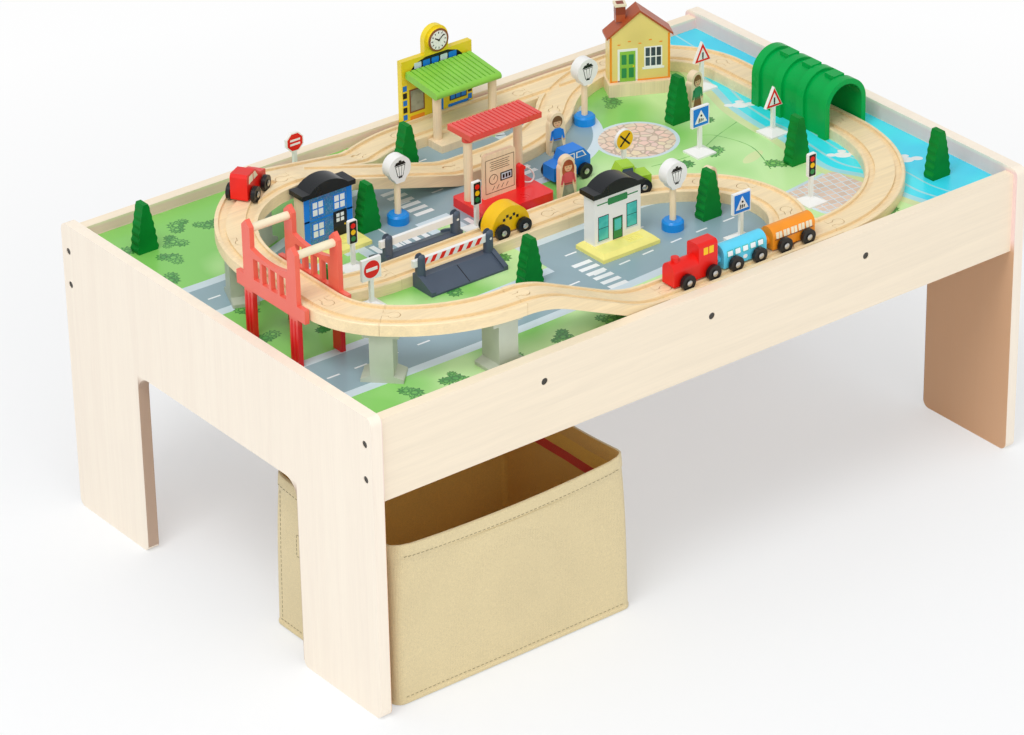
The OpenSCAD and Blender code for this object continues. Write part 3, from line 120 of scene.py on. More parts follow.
# Each vehicle's middle, heading, level, the distances of its axles ahead of its middle, and its material slot
VEHICLES = {
    "loco": (0.447, -217.0, 180.0, TRACK_TOP, (13, -18.5), "loco_red"),
    "blue_coach": (61.447, -217.0, 180.0, TRACK_TOP, (14.5, -14.5), "coach_blue"),
    "orange_coach": (122.447, -217.0, 180.0, TRACK_TOP, (14.5, -14.5), "coach_orange"),
    "red_car": (-273.947, 113.48, 213.0, RAISED_TOP, (13, -13), "car_red"),
    "yellow_car": (-70.856, INNER_Y, 180.0, TRACK_TOP, (13, -13), "car_yellow"),
    "blue_car": (60.17, 45.178, 180.0, BOARD_TOP + 3.0, (13, -13), "car_blue"),
    "green_truck": (74.834, -30.766, 164.6, TRACK_TOP, (13, -13), "truck_green"),
}
AXLES = ("_front_axle", "_rear_axle")
AXLE_RISE = 5.3
BODY_HALF = 8.9
HUB_HALF = 15.9


def srgb(code):
    """A colour as it is seen on a screen, given as six hex digits, in the linear values that Blender takes."""
    values = [int(code[i : i + 2], 16) / 255 for i in (0, 2, 4)]
    return tuple(v / 12.92 if v <= 0.04045 else ((v + 0.055) / 1.055) ** 2.4 for v in values)


def shift(x=0.0, y=0.0, z=0.0):
    return Matrix.Translation((x, y, z))


def place(x, y, z=0.0, turn=0.0):
    """A pose on the table, in millimetres and degrees."""
    return shift(x, y, z) @ Matrix.Rotation(math.radians(turn), 4, "Z")


def both_faces(at, half):
    """The drawing planes on a solid's front and back, half its thickness from its middle, each with its X's sign."""
    return (at @ FRONT @ shift(z=half), 1), (at @ BACK @ shift(z=half), -1)


GROUND = place(0, 0, BOARD_TOP)


# Settings


def colour(label, code, about):
    return FloatVectorProperty(
        name=label, description=about, subtype="COLOR", size=3, min=0.0, max=1.0, default=srgb(code)
    )


def distance(label, about, value, most):
    return FloatProperty(
        name=label, description=about, default=value, min=0.0, max=most, subtype="DISTANCE", unit="LENGTH"
    )


class TrainTableColours(bpy.types.PropertyGroup):
    """Colours of the table, its print and its toys"""

    panel_wood: colour("Panel wood", "fbeedd", "Pale wood of the end panels")
    rail_wood: colour("Rail wood", "f6e7cf", "Pale wood of the rails")
    track_wood: colour("Track wood", "fae2b6", "Beech of the track pieces")
    plain_wood: colour("Plain wood", "f6dfbb", "Bare wood of posts, bases and figures")
    bin_outside: colour("Bin outside", "e3d1a4", "Non-woven fabric of the bin")
    # Partly the lining's own golden tone and partly painted light: set lighter and warmer to stand in for light shining
    # through the fabric into the shaded bin
    bin_inside: colour("Bin inside", "f0c364", "Inner face of the bin's fabric")
    lawn: colour("Lawn", "88d264", "Printed lawn of the board")
    lawn_light: colour("Light lawn", "ccf4aa", "Paler patches of the printed lawn")
    bush: colour("Bush", "3a8238", "Printed bushes")
    road: colour("Road", "8eaab5", "Printed roads")
    kerb: colour("Kerb", "d6e8f2", "Printed kerbs and pavements")
    marking: colour("Road marking", "f6fafc", "Printed lane marks and crossings")
    water: colour("Water", "38dcfa", "Printed water")
    shallows: colour("Shallows", "a8e6f0", "Printed ripples along the shore")
    sand: colour("Sand", "dcebaa", "Printed beach and sandy places")
    paving: colour("Paving", "f6dac6", "Printed paved places")
    # The bridge's plastic is one red: the lighter colour of its upper panels is painted light, standing in for light
    # falling on them
    bridge_top: colour("Bridge sides", "f06a56", "Upper panels of the bridge")
    bridge: colour("Bridge legs", "de1216", "Lower part of the bridge")
    tunnel: colour("Tunnel", "02a84c", "Moulded tunnel")
    crossing: colour("Crossing", "4c5869", "Level crossing")
    pier: colour("Pier", "bfc7b5", "Track piers")
    station: colour("Station wall", "f6dc22", "Printed wall of the station")
    canopy: colour("Canopy", "8cd04a", "Ribbed canopy of the station")
    fuel: colour("Fuel station", "f01c1e", "Base of the fuel station")
    cottage: colour("Cottage", "efd980", "Walls of the cottage")
    roof: colour("Cottage roof", "b2542c", "Roof of the cottage")
    townhouse: colour("Town house", "1f7cbc", "Walls of the town house")
    dome: colour("Domed roofs", "14181d", "Roofs of the town house and the shop")
    building_base: colour("Building base", "fbf28c", "Bases of the town house and the shop")
    tree: colour("Tree", "02822f", "Painted trees")
    lamp_base: colour("Lamp base", "0c8ee6", "Painted lamp bases")
    white: colour("White paint", "f3f3f1", "White signs, barriers and walls")
    black: colour("Black", "17181a", "Wheels and dark prints")
    red: colour("Red paint", "ea1a10", "Engine, red car and red prints")
    light_blue: colour("Light blue paint", "5fd4f4", "Light blue coach")
    orange: colour("Orange paint", "f59622", "Orange coach")
    yellow: colour("Yellow paint", "fbc80e", "Yellow car and yellow prints")
    blue: colour("Blue paint", "1280e4", "Blue car and blue prints")
    lime: colour("Light green paint", "a6d432", "Green truck")


class TrainTableSizes(bpy.types.PropertyGroup):
    """Sizes of the softer and finer details"""

    bin_bulge: distance("Bin bulge", "How far the bin's sides bow out", 0.004, 0.012)
    bin_sag: distance("Bin sag", "How far the bin's rim hangs between its corners", 0.006, 0.02)
    grain_bump: FloatProperty(
        name="Grain", description="Depth of the wood grain", default=0.12, min=0.0, max=1.0, subtype="FACTOR"
    )


# Materials

FINISH = {}
# Painted shade on the inner faces, darker tints that stand in for the shade under and inside the table: colour, axis,
# greatest distance from the middle, and the levels between which they fade
PANEL_PAINTED_SHADE = (
    ("f4dcde", "X", 388.5, 313.5, 317.0), ("dcb890", "X", 388.5, 226.0, 240.0), ("c2ab9b", "Y", 132.5, 190.0, 200.0),
)
RAIL_PAINTED_SHADE = (("fddde0", "Y", 238.5, 308.0, 311.5),)
# How much the wood's pattern is squeezed along the grain and across it, and how much finer its fibres are
GRAIN_ALONG, GRAIN_ACROSS, FIBRE_SCALE = 3, 70, 9
# Levels between which the bridge's colour turns from its red to the lighter upper colour, painted light on the upper
# panels
BRIDGE_LIGHT_FADE = (342.0, 352.0)


def opaque(value):
    """A colour of three numbers with full alpha; anything else as it is."""
    return (*value, 1.0) if isinstance(value, (tuple, list)) and len(value) == 3 else value


def shade(value, factor):
    return tuple(min(1.0, v * factor) for v in value)


class Nodes:
    """Adds and wires the nodes of one finish."""

    def __init__(self, name):
        self.material = FINISH[name] = bpy.data.materials.new(name)
        self.material.use_nodes = True
        self.tree = self.material.node_tree
        self.shader = self.tree.nodes["Principled BSDF"]
        self.coord = self.add("ShaderNodeTexCoord").outputs["Object"]

    def add(self, kind, inputs=None, **settings):
        node = self.tree.nodes.new(kind)
        for key, value in settings.items():
            setattr(node, key, value)
        for key, value in (inputs or {}).items():
            self.feed(node.inputs[key], value)
        return node

    def feed(self, socket, value):
        if isinstance(value, bpy.types.NodeSocket):
            self.tree.links.new(value, socket)
        else:
            socket.default_value = value

    def along(self, axis):
        return self.add("ShaderNodeSeparateXYZ", {"Vector": self.coord}).outputs[axis]

    def stretched(self, scale, turn=(0, 0, 0)):
        inputs = {"Vector": self.coord, "Scale": scale, "Rotation": turn}
        return self.add("ShaderNodeMapping", inputs).outputs["Vector"]

    def noise(self, scale, detail, distortion=0.0, vector=None):
        vector = self.coord if vector is None else vector
        inputs = {"Vector": vector, "Scale": scale, "Detail": detail, "Distortion": distortion}
        return self.add("ShaderNodeTexNoise", inputs).outputs["Fac"]

    def cells(self, scale, output, randomness=1.0, **settings):
        inputs = {"Vector": self.coord, "Scale": scale, "Randomness": randomness}
        return self.add("ShaderNodeTexVoronoi", inputs, **settings).outputs[output]

    def span(self, value, low, high, out_low=0.0, out_high=1.0):
        inputs = {"Value": value, "From Min": low, "From Max": high, "To Min": out_low, "To Max": out_high}
        return self.add("ShaderNodeMapRange", inputs).outputs["Result"]

    def mix(self, share, first, second, kind="MIX"):
        node = self.add("ShaderNodeMix", data_type="RGBA", blend_type=kind)
        for index, value in ((0, share), (6, first), (7, second)):
            self.feed(node.inputs[index], opaque(value))
        return node.outputs[2]

    def maths(self, operation, first, second=0.0):
        return self.add("ShaderNodeMath", {0: first, 1: second}, operation=operation).outputs[0]

    def surface(self, base, roughness, bump=None, depth=0.0, distance=0.0, **sockets):
        self.feed(self.shader.inputs["Base Color"], opaque(base))
        self.feed(self.shader.inputs["Roughness"], roughness)
        for key, value in sockets.items():
            self.shader.inputs[key.replace("_", " ")].default_value = value
        if bump is not None:
            inputs = {"Height": bump, "Strength": depth, "Distance": distance}
            self.feed(self.shader.inputs["Normal"], self.add("ShaderNodeBump", inputs).outputs["Normal"])

    def inner_face(self, axis, limit, full, gone):
        """One on the faces nearer than a limit to the table's middle, fading out between two levels: where the painted
        shade lies.
        """
        inward = self.maths("LESS_THAN", self.maths("ABSOLUTE", self.along(axis)), limit * MM)
        return self.maths("MULTIPLY", inward, self.span(self.along("Z"), full * MM, gone * MM, 1.0, 0.0))


def wood(name, base, along, contrast, roughness=0.5, coat=0.0, painted_shade=()):
    """Planed wood, with fine fibres and slow bands that run along one axis, and painted shade on inner faces."""
    nodes = Nodes(name)
    squeeze = [GRAIN_ALONG if axis == along else GRAIN_ACROSS for axis in "XYZ"]
    bands = nodes.noise(1.0, 4.0, 1.2, nodes.stretched(squeeze))
    fibres = nodes.noise(1.0, 2.0, 0.0, nodes.stretched([v * FIBRE_SCALE for v in squeeze]))
    tone = nodes.mix(nodes.span(bands, 0.3, 0.7), shade(base, contrast), shade(base, 1.06))
    fine = nodes.mix(nodes.span(fibres, 0.35, 0.65), shade(base, contrast), shade(base, 1.04))
    rough = nodes.span(fibres, 0.2, 0.8, roughness - 0.08, roughness + 0.08)
    grain = nodes.mix(0.4, tone, fine)
    for code, *where in painted_shade:
        # Painted shade: a darker tint multiplied into the grain on each inner face
        grain = nodes.mix(nodes.inner_face(*where), grain, nodes.mix(0.5, srgb(code), grain, "MULTIPLY"))
    depth = bpy.context.scene.train_table_sizes.grain_bump
    nodes.surface(grain, rough, fibres, depth, 0.0004, Coat_Weight=coat, Coat_Roughness=0.25)


def paint(name, base, roughness=0.38, coat=0.12, mottle=0.08, gloss=0.35):
    """Sprayed paint or moulded plastic, a little uneven in colour and gloss."""
    nodes = Nodes(name)
    cloud = nodes.noise(45.0, 3.0)
    tone = nodes.mix(nodes.span(cloud, 0.3, 0.7), shade(base, 1 - mottle), shade(base, 1 + mottle * 0.4))
    rough = nodes.span(cloud, 0.2, 0.8, roughness - 0.06, roughness + 0.08)
    coats = {"Coat_Weight": coat, "Coat_Roughness": 0.12, "Specular_IOR_Level": gloss}
    nodes.surface(tone, rough, nodes.noise(900.0, 2.0), 0.06, 0.0002, **coats)


def painted_light_by_level(name, low, high, levels):
    """Paint whose colour changes from one to another between two levels above the floor; the upper colour is painted
    light.
    """
    nodes = Nodes(name)
    cloud = nodes.noise(45.0, 3.0)
    tone = nodes.mix(nodes.span(nodes.along("Z"), *(level * MM for level in levels)), low, high)
    worn = nodes.mix(nodes.span(cloud, 0.3, 0.7, 0.0, 0.12), tone, low)
    nodes.surface(worn, nodes.span(cloud, 0.2, 0.8, 0.3, 0.42), Coat_Weight=0.25, Coat_Roughness=0.12)


def printed(name, base, second=None, patch=14.0, drift=(0, 0, 0)):
    """Ink on a film: two tones that run into one another in soft patches, the second one gaining along the drift."""
    nodes = Nodes(name)
    gain = nodes.add("ShaderNodeVectorMath", {0: nodes.coord, 1: drift}, operation="DOT_PRODUCT").outputs["Value"]
    cloud = nodes.maths("ADD", gain, nodes.noise(patch, 2.0))
    grain = nodes.noise(1500.0, 1.0)
    tone = nodes.mix(nodes.span(cloud, 0.42, 0.58), base, second or shade(base, 0.9))
    speck = nodes.mix(nodes.span(grain, 0.3, 0.7, 0.0, 0.12), tone, shade(base, 0.75))
    nodes.surface(speck, 0.4, grain, 0.02, 0.0001, Coat_Weight=0.35, Coat_Roughness=0.15)


def cobbles(name, base, size, joint):
    """Printed stones with darker joints."""
    nodes = Nodes(name)
    scale = 1 / (size * MM)
    gap = nodes.span(nodes.cells(scale, "Distance", feature="DISTANCE_TO_EDGE"), 0.04, 0.1)
    tint = nodes.mix(0.12, base, nodes.cells(scale, "Color"))
    nodes.surface(nodes.mix(gap, joint, tint), 0.45, Coat_Weight=0.2, Coat_Roughness=0.2)


def setts(name, base, size, joint, turn):
    """Printed rows of paving bricks, turned on the board."""
    nodes = Nodes(name)
    inputs = {
        "Vector": nodes.stretched((1, 1, 1), (0, 0, math.radians(turn))), "Color1": opaque(base),
        "Color2": opaque(shade(base, 0.82)), "Mortar": opaque(joint), "Scale": 1 / (size * MM),
        "Mortar Size": 0.06, "Brick Width": 1.0, "Row Height": 1.0,
    }
    bricks = nodes.add("ShaderNodeTexBrick", inputs, offset=0.0)
    nodes.surface(bricks.outputs["Color"], 0.45, Coat_Weight=0.2, Coat_Roughness=0.2)


def felted(name, base):
    """Non-woven fabric: bonded fibres with a fine embossed grid of points."""
    nodes = Nodes(name)
    fibres = nodes.noise(700.0, 4.0, 1.5)
    dots = nodes.span(nodes.cells(520.0, "Distance", 0.25), 0.1, 0.45)
    tone = nodes.mix(nodes.span(fibres, 0.3, 0.7), shade(base, 0.86), shade(base, 1.08))
    worn = nodes.mix(nodes.span(nodes.noise(14.0, 3.0), 0.35, 0.65, 0.0, 0.3), tone, shade(base, 0.88))
    height = nodes.maths("ADD", nodes.maths("MULTIPLY", dots, 0.7), nodes.maths("MULTIPLY", fibres, 0.5))
    nodes.surface(worn, 0.9, height, 0.5, 0.0006, Sheen_Weight=0.25, Sheen_Roughness=0.5)


def metal(name, base, roughness):
    nodes = Nodes(name)
    rub = nodes.noise(1200.0, 3.0)
    nodes.surface(base, nodes.span(rub, 0.2, 0.8, roughness - 0.1, roughness + 0.1), rub, 0.05, 0.0001, Metallic=1.0)


def twisted(name, base):
    """String whose strands run round it."""
    nodes = Nodes(name)
    inputs = {"Vector": nodes.stretched((1, 1, 1), (0, 0.6, 0.5)), "Scale": 420.0, "Distortion": 0.4}
    strands = nodes.add("ShaderNodeTexWave", inputs).outputs["Fac"]
    nodes.surface(nodes.mix(strands, shade(base, 0.78), base), 0.85, strands, 0.5, 0.0003)


# Inks that aren't in the panel: one colour, or two and the fineness of their patches
INKS = {
    "green_print": ["1e8a4a"], "lime_print": ["8cc63f"], "skin": ["e9b98f"], "ink": ["6b4a2c"], "pink": ["d9505c"],
    "brown": ["8a4b22"], "teal": ["35b7b0", "4fcac2", 90.0], "glass_print": ["2f3b44", "465763", 60.0],
    "hair": ["8a5a2c", "6e4420", 90.0], "auburn": ["b5562a", "9a4420", 90.0], "grey_cloth": ["8d9182", "a9ab9a", 120.0],
}


def mix_finishes():
    """Makes every finish, most of them from the colours in the panel."""
    colours = bpy.context.scene.train_table_colours
    c = {key: tuple(getattr(colours, key)) for key in TrainTableColours.__annotations__}
    # The end panels and rails carry painted shade on their inner faces
    wood("panel_upright", c["panel_wood"], "Z", 0.975, 0.55, 0.05, PANEL_PAINTED_SHADE)
    wood("panel_long", c["rail_wood"], "X", 0.972, 0.55, 0.05, RAIL_PAINTED_SHADE)
    wood("batten", shade(c["panel_wood"], 0.85), "Y", 0.85, 0.65)
    wood("track", c["track_wood"], "X", 0.86, 0.48, 0.15)
    wood("plain", c["plain_wood"], "Z", 0.88, 0.5, 0.1)
    metal("screw", srgb("55534f"), 0.4)
    metal("silver", srgb("c9c9c6"), 0.3)
    felted("bin_outside", c["bin_outside"])
    # The inner face's colour is partly painted light, set lighter and warmer for the light shining through the fabric
    # into the shaded bin
    felted("bin_inside", c["bin_inside"])
    felted("stripe_red", srgb("e2391f"))
    felted("stripe_gold", srgb("ffcf5a"))
    twisted("thread", shade(c["bin_outside"], 0.5))
    twisted("string", c["white"])
    printed("lawn", c["lawn"], c["lawn_light"], 7.0, (0.3, -0.4, 0))
    printed("bush", c["bush"], shade(c["bush"], 1.3), 60.0)
    printed("bush_light", shade(c["bush"], 1.7), c["lawn"], 60.0)
    printed("road", c["road"], shade(c["road"], 1.12), 9.0)
    printed("water", c["water"], shade(c["water"], 1.2), 12.0)
    for name in ("kerb", "marking", "shallows", "sand", "station", "cottage"):
        printed(name, c[name])
    for name, inks in INKS.items():
        printed(name, *(srgb(ink) for ink in inks[:2]), *inks[2:])
    cobbles("cobbles", c["paving"], 9.0, shade(c["paving"], 0.6))
    cobbles("townhouse", c["townhouse"], 2.4, shade(c["townhouse"], 0.8))
    setts("setts", shade(c["paving"], 0.9), 9.0, c["kerb"], 8.0)
    # Painted light: the bridge turns from its red to the lighter upper colour between two levels
    painted_light_by_level("bridge", c["bridge"], c["bridge_top"], BRIDGE_LIGHT_FADE)
    for name in ("canopy", "roof", "lamp_base", "red", "light_blue", "orange", "yellow", "blue", "lime"):
        paint(name, c[name])
    paint("base_yellow", c["building_base"])
    paint("cream", srgb("f4e8c8"))
    paint("chimney", srgb("8d3a22"))
    paint("tunnel", c["tunnel"], 0.3, 0.08, gloss=0.12)
    paint("tree", c["tree"], 0.45, 0.02, 0.2, 0.12)
    paint("crossing", c["crossing"], 0.45, 0.1)
    paint("pier", c["pier"], 0.5, 0.05)
    paint("fuel", c["fuel"], 0.3, 0.35)
    # The roof is the base's red, painted lighter: painted light on its top
    paint("fuel_roof", srgb("ea5048"), 0.3, 0.35)
    paint("dome", c["dome"], 0.3)
    paint("black", c["black"], 0.35)
    paint("white", c["white"], 0.4, 0.2, 0.03)


# The solids that take each finish
CAD_FINISH = {
    "panel_upright": "end_panel_left end_panel_right",
    "panel_long": "front_rail back_rail",
    "batten": "board_battens play_board",
    "screw": "frame_screws",
    "track": "straight_tracks curved_tracks ramp_tracks switch_tracks",
    "plain": "wood_bases wood_posts fuel_panel figures",
    "pier": "track_piers",
    "bridge": "bridge_sides",
    "cream": "bridge_crossbars",
    "tunnel": "tunnel",
    "crossing": "crossing_deck",
    "white": "barrier_front barrier_back shop_body lamp_heads sign_bases road_signs",
    "station": "station_wall",
    "canopy": "station_roof",
    "fuel": "fuel_base",
    "fuel_roof": "fuel_roof",
    "cottage": "house_body",
    "roof": "house_roof",
    "townhouse": "townhouse_body",
    "dome": "shop_roofs",
    "base_yellow": "shop_bases",
    "tree": "trees",
    "lamp_base": "lamp_bases",
    "red": "loco_body red_car_body",
    "light_blue": "blue_coach_body",
    "orange": "orange_coach_body",
    "yellow": "yellow_car_body",
    "blue": "blue_car_body",
    "lime": "green_truck_body",
    "black": " ".join(name + end for name in VEHICLES for end in AXLES),
}


# Modelling


def flat_rect(width, height, corner=0.0):
    bm = bmesh.new()
    verts = bmesh.ops.create_grid(bm, x_segments=1, y_segments=1, size=0.5)["verts"]
    bmesh.ops.scale(bm, vec=(width, height, 1), verts=verts)
    if corner:
        bmesh.ops.bevel(
            bm, geom=verts, offset=corner, offset_type="OFFSET", segments=5, profile=0.5, affect="VERTICES",
            material=-1,
        )
    return bm


def flat_disc(width, height=None, sides=40):
    bm = bmesh.new()
    verts = bmesh.ops.create_circle(bm, cap_ends=True, segments=sides, radius=0.5)["verts"]
    bmesh.ops.scale(bm, vec=(width, height or width, 1), verts=verts)
    return bm


def flat_shape(points):
    bm = bmesh.new()
    bm.faces.new([bm.verts.new((x, y, 0)) for x, y in points])
    return bm


def flat_ribbon(path, width):
    """A band of even width along a path, extruded from its first edge."""
    points = [Vector((x, y, 0)) for x, y in path]
    bm = bmesh.new()
    edge = None
    for i, point in enumerate(points):
        ahead = (points[min(i + 1, len(points) - 1)] - points[max(i - 1, 0)]).normalized()
        aside = Vector((-ahead.y, ahead.x, 0)) * width / 2
        if edge is None:
            pair = [bm.verts.new(point + aside), bm.verts.new(point - aside)]
            edge = bm.edges.new(pair)
            continue
        made = bmesh.ops.extrude_edge_only(bm, edges=[edge])["geom"]
        fresh = [g for g in made if isinstance(g, bmesh.types.BMVert)]
        fresh.sort(key=lambda v: (v.co - pair[0].co).length)
        fresh[0].co, fresh[1].co = point + aside, point - aside
        pair = fresh
        edge = next(g for g in made if isinstance(g, bmesh.types.BMEdge) and set(g.verts) == set(pair))
    return bm


def smooth_path(points, steps):
    """A curve through a few given points."""
    ends = [points[0], *points, points[-1]]
    curve = []
    for a, b, c, d in zip(ends, ends[1:], ends[2:], ends[3:]):
        a, b, c, d = map(Vector, (a, b, c, d))
        for step in range(steps):
            t = step / steps
            curve.append(
                b + (c - a) * t / 2 + (2 * a - 5 * b + 4 * c - d) * t**2 / 2 + (3 * b - a - 3 * c + d) * t**3 / 2
            )
    return [tuple(p) for p in curve] + [tuple(points[-1])]


def board_curve(points, steps):
    return [p[:2] for p in smooth_path([(x, y, 0) for x, y in points], steps)]


class Piece:
    """Collects the shapes of one piece, in millimetres on the drawing plane set last, and makes its object."""

    def __init__(self, name, body, slot, plane=None):
        self.name, self.body, self.slot, self.plane = name, body, slot, plane
        self.bm = bmesh.new()
        self.finishes = []

    def on(self, plane):
        self.plane = plane
        return self

    def index(self, finish):
        if finish not in self.finishes:
            self.finishes.append(finish)
        return self.finishes.index(finish)

    def absorb(self, bm):
        scratch = bpy.data.meshes.new("scratch")
        bm.to_mesh(scratch)
        bm.free()
        self.bm.from_mesh(scratch)
        bpy.data.meshes.remove(scratch)

    def join(self, bm, finish, local=Matrix.Identity(4)):
        """Takes a finished solid and moves it to its place on the plane."""
        bmesh.ops.recalc_face_normals(bm, faces=bm.faces)
        bmesh.ops.transform(bm, matrix=self.plane @ local, verts=bm.verts)
        index = self.index(finish)
        for face in bm.faces:
            face.material_index = index
        self.absorb(bm)

    def add(self, bm, finish, x=0.0, y=0.0, layer=1, depth=None, turn=0.0, lift=0.0):
        """Takes a flat shape and raises it by a depth, or else by a number of layers of print."""
        made = bmesh.ops.extrude_face_region(bm, geom=list(bm.faces))["geom"]
        tops = [g for g in made if isinstance(g, bmesh.types.BMVert)]
        bmesh.ops.translate(bm, verts=tops, vec=(0, 0, depth or layer * PRINT))
        self.join(bm, finish, place(x, y, lift, turn))

    def rect(self, finish, width, height, x=0.0, y=0.0, corner=0.0, **more):
        self.add(flat_rect(width, height, corner), finish, x, y, **more)

    def disc(self, finish, width, x=0.0, y=0.0, height=None, sides=40, **more):
        self.add(flat_disc(width, height, sides), finish, x, y, **more)

    def shape(self, finish, points, **more):
        self.add(flat_shape(points), finish, **more)

    def ribbon(self, finish, path, width, **more):
        self.add(flat_ribbon(path, width), finish, **more)

    def panes(self, finish, surround, x, y, width, height, columns, rows, bar=1.2, layer=1):
        """A window: a surround with a grid of panes on it."""
        self.rect(surround, width, height, x, y, layer=layer)
        pane_w = (width - (columns + 1) * bar) / columns
        pane_h = (height - (rows + 1) * bar) / rows
        for i in range(columns):
            for j in range(rows):
                across = x - width / 2 + bar + pane_w / 2 + i * (pane_w + bar)
                up = y - height / 2 + bar + pane_h / 2 + j * (pane_h + bar)
                self.rect(finish, pane_w, pane_h, across, up, layer=layer + 1)

    def make(self, *nodes):
        bmesh.ops.scale(self.bm, vec=(MM, MM, MM), verts=self.bm.verts)
        mesh = bpy.data.meshes.new(self.name)
        self.bm.to_mesh(mesh)
        self.bm.free()
        for finish in self.finishes:
            mesh.materials.append(FINISH[finish])
        mesh.polygons.foreach_set("use_smooth", [True] * len(mesh.polygons))
        mesh.set_sharp_from_angle(angle=math.radians(35))
        obj = bpy.data.objects.new(self.name, mesh)
        bpy.context.scene.collection.objects.link(obj)
        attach(obj, self.body)
        if nodes:
            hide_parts(*nodes)


# Operators


class TRAINTABLE_OT_finishes(bpy.types.Operator):
    """Give every solid of the table its finish"""

    bl_idname = "train_table.finishes"
    bl_label = "Finishes"

    def execute(self, context):
        mix_finishes()
        for finish, nodes in CAD_FINISH.items():
            for node in nodes.split():
                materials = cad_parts[node].data.materials
                materials.clear()
                materials.append(FINISH[finish])
        return {"FINISHED"}


HOSE_START = Vector((FUEL[0] + 23.0, FUEL[1] + 2.0, BOARD_TOP + FUEL_BASE_RISE))
HOSE_ROUTE = [
    (4.5, 0, 20.5), (9, -0.5, 18.5), (13.5, -1.5, 13.5), (15.5, -2, 7.5), (12.5, -2, 3), (7.5, -1, 3), (3, 0, 5),
]


class TRAINTABLE_OT_hose(bpy.types.Operator):
    """Hang the string hose of the fuel station from its nozzle"""

    bl_idname = "train_table.hose"
    bl_label = "Fuel hose"

    def execute(self, context):
        points = [(HOSE_START + Vector(p)) * MM for p in smooth_path(HOSE_ROUTE, 6)]
        curve = bpy.data.curves.new("hose", "CURVE")
        curve.dimensions = "3D"
        curve.bevel_depth = 0.8 * MM
        curve.bevel_resolution = 3
        curve.use_fill_caps = True
        spline = curve.splines.new("POLY")
        spline.points.add(len(points) - 1)
        for target, point in zip(spline.points, points):
            target.co = (*point, 1.0)
        curve.materials.append(FINISH["string"])
        hose = bpy.data.objects.new("hose", curve)
        context.scene.collection.objects.link(hose)
        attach(hose, "table")
        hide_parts("fuel_hose")
        length = sum((b - a).length for a, b in zip(points, points[1:]))
        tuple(points[0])
        return {"FINISHED"}


# Paths on the board with their widths; a kerb runs along both sides
ROADS = [
    ([(-387, -140), (-200, -141), (-60, -137), (60, -130), (140, -128)], 62),
    ([(-75, -88), (70, -88), (125, -100)], 66),
    ([(-387, 58), (-310, 58), (-250, 74), (-190, 98)], 46),
    ([(-210, 100), (0, 104), (70, 108), (112, 140), (122, 205)], 88),
    ([(-152, 0), (-152, 90)], 66),
    ([(-60, 165), (60, 172)], 56),
    ([(-45, -30), (-45, 80)], 70),
]
KERB = 11
DASH_PITCH = 30
# Bare edge of the board round the print
EDGE_GAP = 0.2
# Striped crossings on the roads: place and turn
WALKWAYS = ((-96, 101, 90), (-152, 36, 0), (-45, 26, 0), (-45, -138, 90), (36, 106, 93))
FOOTPATHS = ([(140, 10), (190, 4), (236, 22), (272, 34)], [(222, 34), (236, 22), (246, -20), (228, -70)])
SHORE = [
    (298, -237), (288, -200), (288, -150), (271, -111), (271, -79), (280, -13), (280, 9), (286, 59), (300, 104),
    (310, 146), (315, 174), (322, 237),
]
RIPPLE_END = 366
# White clouds on the water, and the place and size of the puffs of each
CLOUDS = ((300, 62), (304, -92), (345, -140), (362, 20), (350, 150))
PUFFS = ((0, 0, 17), (11, -5, 12), (-9, 7, 10), (5, 7, 9))
# Clumps of bushes: place and number; and the rings of one bush: share of its size, finish and depth
BUSHES = [
    (-340, 150, 3), (-366, 190, 2), (-300, 205, 3), (-322, 178, 4), (-275, 186, 3), (-368, 112, 2), (-320, -212, 3),
    (-275, -214, 4), (-215, -216, 3), (-150, -214, 4), (-95, -216, 3), (20, -216, 3), (-250, 160, 3), (-90, 218, 3),
    (214, -2, 2), (252, 66, 3), (210, -212, 3), (252, -216, 2), (205, 150, 3), (-238, -72, 3), (-96, -52, 2),
    (-172, -72, 3), (238, -62, 2), (-365, -40, 3), (-306, -58, 3), (-345, 12, 2), (170, -8, 2),
]
BUSH_RINGS = ((1.0, "bush", 0.1), (0.76, "bush_light", 0.14), (0.6, "bush", 0.18), (0.3, "bush_light", 0.22))


